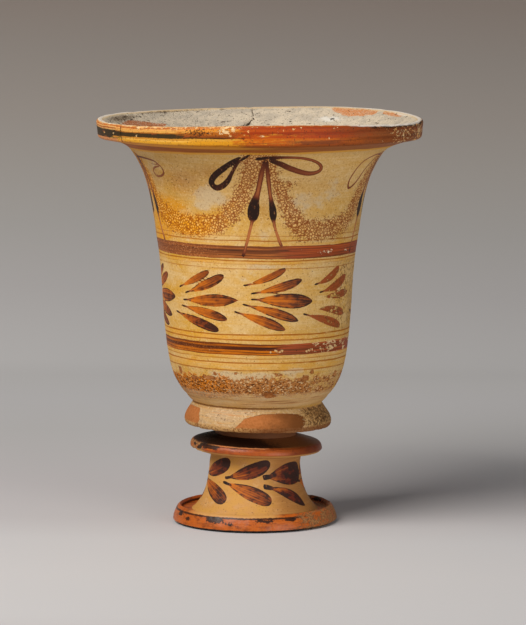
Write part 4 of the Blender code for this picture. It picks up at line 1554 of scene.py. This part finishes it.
def lower_zone(paint, colour):
    """The crumbling sponged zone round the foot of the wall: golden on the left, pinkish in the middle."""
    patchy = paint.noise((6, 3.4), 4, 0.65, 54)
    crumb = paint.noise(1.05, 3, 0.65, 55)
    small = paint.noise(0.75, 2, 0.6, 56)
    flecks = paint.noise((1.3, 0.9), 2, 0.6, 57)
    top = (patchy - 0.5) * 13 + (crumb - 0.5) * 9
    left = (paint.across + (patchy - 0.5) * 1.2).between(-0.2, -0.6)
    low = least((paint.z + top).between(76.2, 75.2), (paint.z + top * 0.5 + left * 2.2).between(66, 67.4))
    right = paint.across.between(0.25, 0.85)
    solid = 1 - right * patchy.between(0.46, 0.56) * 0.8
    share = low * solid
    dabs = crumb.between(0.49, 0.56)
    light = share * flecks.between(0.57, 0.62) * (1 - left * 0.4)
    dots = (small + left * 0.04).between(0.61, 0.65) * most(share, paint.z.band(64, 80.5, 1.5) * 0.4)
    streak = paint.noise((26, 0.6), 3, 0.65, 58)
    below = paint.z.band(60.6, 67.6, 0.8)
    groove = (paint.z + (crumb - 0.5) * 0.8).mark(63.1, 0.2, 0.3)
    colour = coats(colour, [
        (share * 0.92, mix(left, CRUMB_PINK, CRUMB_GOLD)),
        (share * dabs * 0.9, mix(left, CRUMB_BROWN, CRUMB_UMBER)),
        (light * 0.75, FLAKE),
        (dots * 0.85, DIRT),
        (below * 0.5, tone(198, 160, 116)),
        (below * streak.between(0.5, 0.62) * 0.4, CLAY_PALE),
        (below * streak.between(0.62, 0.7) * 0.7, CRUMB_BROWN),
        (below * streak.between(0.42, 0.34) * 0.6, PALE),
        (groove * streak.between(0.4, 0.6) * 0.4, CRUMB_BROWN),
    ])
    return colour, low


def rim_paint(paint):
    """The rim's face: orange, black and yellow stripes on the left, red-orange and brown on the right."""
    wave = paint.noise((22, 8), 2, 0.5, 61)
    streak = paint.noise((40, 0.6), 3, 0.7, 62)
    fine = paint.noise((5, 0.45), 3, 0.65, 63)
    cloud = paint.noise((5, 2.4), 4, 0.65, 64)
    grit = paint.noise(0.8, 3, 0.65, 65)
    height = paint.z + (wave - 0.5) * 0.9 + (fine - 0.5) + (grit - 0.5) * 0.5
    side = paint.across + (fine - 0.5) * 0.36 + (cloud - 0.5) * 0.3
    colour = paint.bands(height, *RIM_SPAN, RIM_FAR_LEFT, RIM_SOFTNESS)
    for stripes, start, end in RIM_PLACES:
        colour = mix(side.between(start, end), colour, paint.bands(height, *RIM_SPAN, stripes, RIM_SOFTNESS))
    red = side.between(-0.15, -0.08)
    low_streaks = side.band(-0.06, 0.32, 0.06) * paint.z.band(190.6, 195.4, 0.6)
    dull = grit.between(0.5, 0.66) * 0.34
    shadow = side.band(0.22, 0.5, 0.05) * paint.z.band(190.4, 192.2, 0.4)
    specks = (grit + paint.brown * 0.13).between(0.64, 0.67)
    burnt = (paint.z + (cloud - 0.5) * 2.8 + (grit - 0.5) * 4.4).band(197.5, 199.6, 0.2)
    scorch = paint.noise((2.2, 1.4), 3, 0.65, 68)
    burnt = burnt * side.between(0.55, 0.72) * paint.front.between(0, 0.12) * scorch.between(0.43, 0.5)
    chip = (paint.bare + (grit - 0.5) * 2).between(0.02, 0.14)
    top = paint.z.between(196.8, 199.4)
    worn_end = side.between(0.66, 0.86) * 0.3
    worn_top = top * 0.66 + paint.z.between(191.2, 189.4) * 0.16
    edge = worn_top + paint.pale * 0.8 + worn_end + 0.12 + top * side.between(-0.1, -0.3) * 0.2
    chips = most(chip, flaking(paint, 1, edge, 131)) * (1 - burnt)
    colour = coats(colour, [
        (low_streaks * streak.between(0.46, 0.58) * 0.85, BAND_ORANGE),
        (low_streaks * fine.between(0.56, 0.66) * 0.8, WASH_YELLOW),
        (red * streak.between(0.55, 0.68) * 0.6, BAND_DARK),
        (cloud.between(0.56, 0.7) * 0.4, BAND_RED),
        (dull, BAND_DARK),
        (shadow * 0.7, BAND_DARK),
        (specks * 0.85, DIRT),
        (burnt * 0.9, DIRT),
    ])
    # The lip itself is bare, most of it cream
    across_lip = paint.x * paint.x + paint.y * paint.y
    wider = side.between(0.42, 0.66) * paint.front.between(0.1, 0.3)
    lip = across_lip + (cloud - 0.5) * 150 - wider * 110
    lip = lip.between(6270, 6200) * (paint.z + wider * 0.5).between(198.4, 199)
    flake = mix(cloud.between(0.42, 0.58), FLAKE, tone(230, 170, 100))
    bare_lip = lip * (1 - grit.between(0.6, 0.66)) * 0.92
    kept = paint.across.band(-0.88, 0, 0.05) * paint.front.between(0, 0.2) * cloud.between(0.58, 0.48)
    bare_lip = bare_lip * (1 - kept)
    lip_tone = mix(abs(paint.across + 0.12).between(0.4, 0.85), tone(212, 188, 154), tone(232, 220, 204))
    colour = coats(colour, [
        (chips * 0.95, flake),
        (bare_lip, lip_tone),
    ])
    return colour, most(chips, bare_lip)


def cove_paint(paint, colour):
    """The brown turned band in the cove under the rim, and the yellow line that edges it."""
    wave = paint.noise((24, 8), 2, 0.5, 66)
    streak = paint.noise((40, 0.6), 3, 0.65, 67)
    height = paint.z + (wave - 0.5) * 0.8 - paint.across * 1.4
    bright = (paint.z + (streak - 0.5) * 0.5).between(187.5, 187.9) * paint.across.between(0.2, -0.2)
    line = (height + (streak - 0.5) * 0.4).band(184.9, 186, 0.2)
    base = coats(tone(134, 70, 30), [
        (streak.between(0.38, 0.6), tone(168, 92, 34)),
        (paint.across.between(0, 0.6) * 0.6, tone(160, 94, 52)),
        (bright, tone(206, 138, 44)),
    ])
    share = (height + (streak - 0.5) * 0.6).between(185.7, 186.1)
    return coats(colour, [
        (line * 0.75, WASH_YELLOW),
        (share * 0.94, base),
    ])


def chalk_inside(paint):
    """The bowl's inside: chalky grey deposit with dark grains, and bare clay where it is gone."""
    cloud = paint.noise((7, 3), 4, 0.68, 71)
    fine = paint.noise(0.9, 4, 0.7, 72)
    edge = paint.bare + (cloud - 0.5) * 5 + (fine - 0.5) * 1.6
    exposed = edge.between(-0.05, 0.15)
    colour = coats(CHALK, [
        (cloud.between(0.4, 0.62), CHALK_GREY),
        (fine.between(0.5, 0.7) * 0.5, CHALK_DIRT),
        ((paint.brown + (cloud - 0.5) * 1.2).between(0.3, 0.8) * 0.6, CHALK_DIRT),
    ])
    clay = coats(PINK_CLAY, [
        (paint.across.between(-0.1, 0.1), ORANGE_CLAY),
        (fine.between(0.5, 0.64) * 0.7, CHALK),
    ])
    thick = (paint.pale + (cloud - 0.5) * 0.8).between(0.24, 0.5)
    grains = paint.noise((0.8, 0.6), 2, 0.6, 73)
    many = paint.across.between(0.1, -0.8)
    level = grains + many * 0.04 + paint.brown * 0.09
    marks = paint.noise((3.6, 1), 3, 0.6, 74) + paint.brown * 0.12
    lip = (paint.z + (fine - 0.5) * 2.4).between(198, 198.8)
    return coats(colour, [
        (exposed, clay),
        (thick * 0.8, tone(226, 218, 204)),
        (level.between(0.65, 0.685) * 0.85, DIRT),
        (marks.between(0.64, 0.67) * 0.85, DIRT),
        (lip * 0.7, FLAKE),
    ])


def spool_paint(paint):
    """The tan slip of the spool, clouded cream and yellow, and darkened to brown towards its right side in
    painted shade.
    """
    cloud = paint.noise((7, 4), 4, 0.62, 81)
    fine = paint.noise(1, 3, 0.65, 82)
    wheel = paint.noise((24, 0.9), 3, 0.6, 83)
    shaded = (paint.across + (cloud - 0.5) * 0.3).between(0.15, 0.62)
    speck = (fine + paint.z.between(22, 10) * 0.05).between(0.7, 0.74)
    return coats(SPOOL_TAN, [
        (cloud.between(0.38, 0.62) * 0.4, CREAM_YELLOW),
        (cloud.between(0.46, 0.28) * 0.22, CREAM_LIGHT),
        # Painted shade: the spool's tan turns brown towards its right side, away from the light
        (shaded * 0.85, tone(160, 106, 52)),
        (wheel.between(0.52, 0.66) * 0.4, SPOOL_TAN),
        (fine.between(0.54, 0.72) * 0.4, BROWN_STAIN),
        (speck * 0.7, DIRT),
    ])


def glaze(paint, dark_share, wear_share):
    """The red glaze of the flange and the foot, streaked dark, black in patches and worn to buff."""
    cloud = paint.noise((4.4, 2), 4, 0.65, 91)
    streak = paint.noise((16, 0.7), 3, 0.65, 92)
    fine = paint.noise(0.8, 3, 0.65, 93)
    worn = (wear_share + (cloud - 0.5) * 1.6 + (fine - 0.5) * 1.6).between(0.48, 0.62)
    colour = coats(GLAZE_ORANGE, [
        (cloud.between(0.44, 0.7) * 0.85, GLAZE_DARK),
        (streak.between(0.54, 0.68) * 0.45, GLAZE_DARK),
        (streak.between(0.42, 0.32) * 0.5, BAND_ORANGE),
        (fine.between(0.55, 0.72) * 0.4, GLAZE_WORN),
        (dark_share, GLAZE_BLACK),
    ])
    buff = mix(fine.between(0.4, 0.6), GLAZE_WORN, tone(118, 76, 42))
    patch = (paint.black + (cloud - 0.5) * 2.8 + (fine - 0.5) * 1.8).between(-0.1, 0.12)
    speck = paint.noise(0.9, 2, 0.55, 95).between(0.68, 0.72)
    colour = coats(colour, [
        (worn * 0.92, buff),
        (patch * 0.92, GLAZE_BLACK),
        (speck * 0.8, GLAZE_BLACK),
    ])
    return colour, worn


CLAY_IOR = 1.42
MILLIMETRE = 0.001


def finish(paint, colour, rough, height, sheen):
    """Adds the pits and cracks that all parts share, and joins a material"s colour, roughness and relief."""
    pits = paint.cells(2.6, "F1", 5)
    pit_size = paint.noise(4, 2, 0.5, 141)
    pit = (pits - (pit_size - 0.47) * 0.5).between(0.02, -0.02)
    crack_noise = (paint.noise(0.9, 2, 0.6, 142) - 0.5) * 0.25
    crack = (paint.crack_gap + crack_noise).between(0.1, -0.08)
    colour = coats(colour, [
        (pit * 0.75, DIRT),
        (crack * 0.95, DIRT),
    ])
    put(colour, paint.shader.inputs["Base Color"])
    grain = paint.noise(0.7, 3, 0.65, 122)
    ragged = paint.noise(1.5, 4, 0.7, 121)
    put(rough + (grain - 0.5) * 0.25, paint.shader.inputs["Roughness"])
    paint.shader.inputs["IOR"].default_value = CLAY_IOR
    paint.shader.inputs["Specular IOR Level"].default_value = sheen
    height = height + (grain - 0.5) * 0.06 + (ragged - 0.5) * 0.07 - pit * 0.12 - crack * 0.25
    bump = paint.tree.nodes.new("ShaderNodeBump")
    bump.inputs["Strength"].default_value = 1
    bump.inputs["Distance"].default_value = MILLIMETRE
    put(height, bump.inputs["Height"])
    paint.tree.links.new(bump.outputs["Normal"], paint.shader.inputs["Normal"])
    return paint.material


def wall_clay():
    """The wall and the skirt carry the cream slip and most of the painting."""
    paint = Paint("painted_clay")
    colour = cream_slip(paint)
    colour = slip_lines(paint, colour)
    colour = sponge(paint, colour)
    colour, low_zone = lower_zone(paint, colour)
    colour, upper_band = turned_band(
        paint, colour, low=134.2, high=140.4, shift=101, seam=0.28, orange=tone(166, 94, 42),
        brown=tone(110, 58, 28), gritty=0.9)
    colour, lower_band = turned_band(
        paint, colour, low=87.2, high=92.8, shift=111, seam=0.22, orange=tone(194, 104, 6),
        brown=tone(88, 36, 6), gritty=0.3)
    colour, leaf_share = leaf_slip(paint, colour)
    colour, stroke_share = thin_strokes(paint, colour)
    colour = cove_paint(paint, colour)

    scuffs = paint.noise((1.1, 1.7), 3, 0.6, 128).between(0.54, 0.6)
    scuffs = scuffs * paint.across.between(0.72, 0.88) * paint.z.band(98, 131, 3)
    colour = mix(scuffs * 0.75, colour, tone(104, 58, 20))

    # Chips through the bands, most of them on the right
    banded = most(upper_band, lower_band)
    right = paint.across.between(0.1, 0.8)
    amount = lower_band * (right * 0.62 + 0.16) + upper_band * 0.08
    chips = flaking(paint, 1.9, amount, 123) * banded
    colour = mix(chips * 0.85, colour, FLAKE)

    # The skirt: paler, streaked, crumbly and brown at its right end
    ragged = paint.noise(1.5, 4, 0.7, 121)
    crumb = paint.noise(1, 3, 0.65, 124)
    streak = paint.noise((20, 0.7), 3, 0.65, 126)
    pale_skirt = paint.skirt * paint.across.between(0.5, -0.1) * streak.between(0.62, 0.4)
    crumbly = paint.skirt * (paint.brown * 0.5 + (crumb - 0.5) * 3.4).between(0.36, 0.5)
    corner = paint.skirt * (paint.across + (crumb - 0.5) * 0.5).between(0.6, 0.76)
    lumps = paint.noise((1.7, 1.3), 3, 0.6, 129)
    scraps = paint.noise((1.4, 1), 2, 0.6, 127).between(0.56, 0.61)
    below = paint.skirt * (paint.z + (ragged - 0.5) * 2.4).between(51, 50.2)
    colour = coats(colour, [
        (paint.skirt * 0.5, SKIRT_CREAM),
        (pale_skirt * 0.75, SKIRT_CREAM),
        (paint.skirt * streak.between(0.54, 0.66) * 0.75, CLAY_PALE),
        (paint.skirt * ragged.between(0.48, 0.36) * 0.7, tone(206, 176, 136)),
        (corner * 0.8, tone(150, 108, 58)),
        (crumbly * 0.6, tone(70, 38, 16)),
        (corner * lumps.between(0.5, 0.57) * 0.75, tone(70, 40, 16)),
        (scraps * most(corner, paint.skirt * 0.25) * 0.7, tone(204, 160, 100)),
    ])
    crust = coats(tone(190, 146, 88), [
        (paint.across.between(-0.35, 0.15), tone(130, 82, 44)),
        (crumb.between(0.48, 0.58) * 0.8, CRUMB_BROWN),
    ])

    # Bare clay, crisp-edged
    rough_edge = (ragged - 0.5) * (3.4 - paint.skirt * 2.8 + banded * 1.4)
    fading = (paint.across + (crumb - 0.5) * 0.6).between(0.62, 0.74)
    rough_edge = rough_edge - paint.skirt * fading * 4
    bare_share = (paint.bare + rough_edge).between(0, 0.16)
    smooth = paint.noise((6, 3), 3, 0.6, 125)
    clay = coats(CLAY, [
        (smooth.between(0.38, 0.62), CLAY_PALE),
        (crumb.between(0.55, 0.7) * 0.35, CHIP_CLAY),
    ])
    # The bare wedge on the skirt darkens towards the right in painted shade
    wedge = coats(CHIP_CLAY, [
        (crumb.between(0.35, 0.65), CLAY),
        ((paint.across + (smooth - 0.5) * 0.4).between(0, 0.56), SHADED_CLAY),
    ])
    outline = (paint.bare + rough_edge).mark(0, 0.1, 0.14) * paint.across.between(-0.3, 0)
    outline = most(outline * paint.skirt, (paint.bare + rough_edge).mark(0, 0.12, 0.2) * low_zone)
    clay = coats(clay, [
        (crumb.between(0.42, 0.56) * 0.45, CRUMB_BROWN),
        (paint.skirt, wedge),
        (lower_band, tone(218, 178, 122)),
        (upper_band, tone(234, 210, 172)),
    ])
    # A painted shadow along the crease where the wall meets the skirt, fading out towards the right
    seat = (paint.z + (crumb - 0.5) * 0.8).mark(59.7, 0.5, 0.35)
    seat = seat * paint.across.between(0.9, 0.2)
    colour = coats(colour, [
        (bare_share, clay),
        (outline * 0.6, CRUMB_BROWN),
        (below * 0.85, crust),
        (seat * 0.85, CRUMB_BROWN),
    ])

    rough = 0.66 - most(leaf_share, stroke_share, banded) * 0.16
    rough = rough + bare_share * 0.2 + low_zone * 0.14
    height = bare_share * -0.12 - chips * 0.06
    coarse = low_zone * 0.34 + crumbly * 0.25
    return finish(paint, colour, rough, height + (crumb - 0.5) * coarse, 0.2)


def rim_clay():
    """The rim's face and lip, which lose their gloss where they are chipped."""
    paint = Paint("rim_clay")
    colour, chips = rim_paint(paint)
    return finish(paint, colour, 0.52 + chips * 0.2, chips * -0.1, 0.24)


def mouth_clay():
    """The inside of the bowl and of its mouth."""
    paint = Paint("mouth_clay")
    crumb = paint.noise(1, 3, 0.65, 124)
    return finish(paint, chalk_inside(paint), 0.9, (crumb - 0.5) * 0.26, 0.15)


def foot_clay():
    """The stem, the flange, the spool and the foot."""
    paint = Paint("foot_clay")
    ragged = paint.noise(1.5, 4, 0.7, 121)

    colour = leaf_slip(paint, spool_paint(paint), 0.85)[0]
    colour = thin_strokes(paint, colour)[0]
    top_dark = paint.flange * (paint.z + (ragged - 0.5) * 0.8).between(39.9, 40.5) * (1 - paint.flange_under)
    brownish = paint.across + (ragged - 0.5) * 0.8 + (paint.z - 41.5) * 0.12
    edge_line = (paint.z + (ragged - 0.5) * 1.2).mark(39.7, 0.2, 0.25) * 0.8
    foot_height = paint.z + (ragged - 0.5)
    lip_line_and_undercut_shadow = foot_height.mark(6.8, 0.42, 0.25) * paint.across.between(0.75, 0.55) * 0.9
    # The undercut down to the ground is painted black, a painted shadow under the foot
    lip_line_and_undercut_shadow = most(lip_line_and_undercut_shadow, foot_height.between(1.6, 1))
    flange_dark = most(edge_line, paint.across.between(0.3, 0.85) * 0.72)
    flange_wear = 0.04 + paint.across.between(-0.66, -0.9) * 0.66
    foot_wear = 0.02 + paint.across.between(0.3, 0.7) * 0.62
    dark = paint.flange * flange_dark + paint.foot * lip_line_and_undercut_shadow
    wear = paint.flange * flange_wear + paint.foot * foot_wear
    glazed, worn = glaze(paint, dark, wear)
    unburnt = paint.black.between(0.1, -0.3)
    flange_top = mix(brownish.between(0.1, 0.6), FLANGE_BLACK, FLANGE_BROWN)
    lip_tan = foot_height.between(7.05, 7.4) * paint.front.between(0.45, 0.75)
    lip_tan = lip_tan * paint.across.between(0.4, 0.2)
    glazed = coats(glazed, [
        (paint.flange * (1 - worn) * unburnt * 0.4, tone(132, 52, 20)),
        (paint.foot * lip_tan, SPOOL_TAN),
    ])
    # A painted highlight along the front of the flange's rounded edge
    painted_highlight = paint.flange * (paint.z + (ragged - 0.5) * 0.6).mark(40.1, 0.16, 0.2)
    painted_highlight = painted_highlight * paint.front.between(0.6, 0.85) * paint.across.between(0.25, 0.1)
    colour = coats(colour, [
        (most(paint.foot, paint.flange).between(0.4, 0.6), glazed),
        (top_dark, flange_top),
        (painted_highlight * 0.7, tone(214, 138, 84)),
        (paint.flange * paint.flange_under, SPOOL_TAN),
    ])
    deep = mix(paint.z.between(39, 42), CLAY, FLANGE_BROWN)
    glossy = most(paint.flange, paint.foot) * (1 - most(paint.flange_under, worn))
    colour = mix(paint.hidden.between(0.4, 0.6), colour, deep)
    return finish(paint, colour, 0.64 - glossy * 0.26, worn * -0.05, 0.36)


# ---- Camera, light and setting ----

CAMERA_PLACE = (0.00155, -1.780, 0.3043)
CAMERA_PITCH = 6.45
CAMERA_LENS = 210.1
SENSOR = 36.0
NEAREST, FARTHEST = 0.05, 50.0

# The area lights: place, target, size, power in watts and colour
LIGHTS = {
    "key": ((-0.96, -0.94, 1.3), (0.0, 0.0, 0.08), (1.3, 0.95), 36.5, (1.0, 0.985, 0.965)),
    "fill": ((1.0, -1.35, 0.32), (0.0, 0.0, 0.14), (1.0, 0.6), 10.8, (0.97, 0.98, 1.0)),
}
SKY_COLOUR = (0.80, 0.86, 0.92, 1.0)
SKY_STRENGTH = 0.11

# The paper sweep in metres: where its floor starts and ends, the radius of its bend and its width. The bend
# stops after 16 of the 24 steps of a quarter turn, just above the picture
SWEEP_FRONT, SWEEP_BACK = -2.4, 0.55
SWEEP_BEND = 0.5
SWEEP_WIDTH = 4.0
SWEEP_STEPS, SWEEP_QUARTER = 16, 24
# A distance up the sweep is the sum of the place's coordinates times these
SWEEP_WEIGHTS = (0.03, 0.4, 0.8)
SWEEP_START = 0.3
SWEEP_SCALE = 0.4
# The paper's colour up the sweep is painted light and shade: bright on the floor, darker up the backdrop, and
# tilted a little to the right
SWEEP_FIRST_TONE = (197, 191, 189)
SWEEP_PAINTED_LIGHT_TONES = (
    (-0.25, (204, 200, 198)), (-0.15, (208, 204, 202)), (-0.06, (207, 204, 203)), (0, (199, 194, 193)),
    (0.1, (199, 193, 192)), (0.3, (201, 197, 194)), (0.43, (208, 204, 202)), (0.52, (211, 207, 204)),
    (0.6, (210, 206, 203)), (0.8, (188, 183, 180)), (0.95, (174, 169, 164)), (1.08, (165, 158, 151)),
    (1.2, (156, 147, 139)), (1.32, (145, 136, 128)), (1.43, (136, 124, 115)), (1.8, (121, 110, 102)),
)


def build_camera():
    data = bpy.data.cameras.new("camera")
    data.lens = CAMERA_LENS
    data.sensor_width = SENSOR
    data.sensor_fit = "AUTO"
    data.clip_start, data.clip_end = NEAREST, FARTHEST
    camera = put_in_scene("camera", data)
    camera.location = CAMERA_PLACE
    camera.rotation_euler = (math.radians(90.0 - CAMERA_PITCH), 0.0, 0.0)
    bpy.context.scene.camera = camera


def build_lights():
    for name, (place, target, size, power, colour) in LIGHTS.items():
        data = bpy.data.lights.new(name, "AREA")
        data.shape = "RECTANGLE"
        data.size, data.size_y = size
        data.energy = power
        data.color = colour
        light = put_in_scene(name, data)
        light.location = place
        aim = np.array(target) - np.array(place)
        tilt = math.atan2(math.hypot(aim[0], aim[1]), -aim[2])
        light.rotation_euler = (tilt, 0.0, math.atan2(aim[1], aim[0]) - math.pi / 2)
    world = bpy.data.worlds.new("surroundings")
    bpy.context.scene.world = world
    world.use_nodes = True
    background = world.node_tree.nodes["Background"]
    background.inputs["Color"].default_value = SKY_COLOUR
    background.inputs["Strength"].default_value = SKY_STRENGTH


def build_sweep_material():
    """Paper whose colour changes from the floor in front to the top of the backdrop, in painted light and
    shade.
    """
    material = bpy.data.materials.new("paper_painted_light")
    material.use_nodes = True
    tree = material.node_tree
    shader = tree.nodes["Principled BSDF"]
    shader.inputs["Roughness"].default_value = 0.9
    place = tree.nodes.new("ShaderNodeTexCoord")
    along = tree.nodes.new("ShaderNodeVectorMath")
    along.operation = "DOT_PRODUCT"
    along.inputs[1].default_value = SWEEP_WEIGHTS
    tree.links.new(place.outputs["Object"], along.inputs[0])
    shifted = Value(tree, along.outputs["Value"]) + SWEEP_START * SWEEP_SCALE
    ramp = tree.nodes.new("ShaderNodeValToRGB")
    stops = [((distance + SWEEP_START) * SWEEP_SCALE, shade) for distance, shade in SWEEP_PAINTED_LIGHT_TONES]
    fill_ramp(ramp, [(0, SWEEP_FIRST_TONE)] + stops)
    put(shifted, ramp.inputs["Fac"])
    tree.links.new(ramp.outputs["Color"], shader.inputs["Base Color"])
    return material


def build_setting():
    """A pale floor that curves up into a backdrop made grey with painted shade, which ends just above the
    picture.
    """
    outline = [(SWEEP_FRONT, 0.0), (SWEEP_BACK, 0.0)]
    for step in range(1, SWEEP_STEPS + 1):
        angle = math.radians(90.0 * step / SWEEP_QUARTER)
        outline.append((SWEEP_BACK + SWEEP_BEND * math.sin(angle), SWEEP_BEND * (1 - math.cos(angle))))
    vertices = [(side * SWEEP_WIDTH / 2, along, height) for along, height in outline for side in (-1, 1)]
    faces = [(2 * i, 2 * i + 1, 2 * i + 3, 2 * i + 2) for i in range(len(outline) - 1)]
    mesh = bpy.data.meshes.new("sweep")
    mesh.from_pydata(vertices, [], faces)
    mesh.shade_smooth()
    mesh.materials.append(build_sweep_material())
    sweep = put_in_scene("sweep", mesh)
    sweep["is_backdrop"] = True


def main():
    vessel = build_vessel()
    for material in (wall_clay(), rim_clay(), mouth_clay(), foot_clay()):
        vessel.data.materials.append(material)
    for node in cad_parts.values():
        node.hide_render = True
        node.hide_viewport = True
    build_setting()
    build_lights()
    build_camera()
    bpy.context.scene.view_settings.view_transform = "Standard"


main()
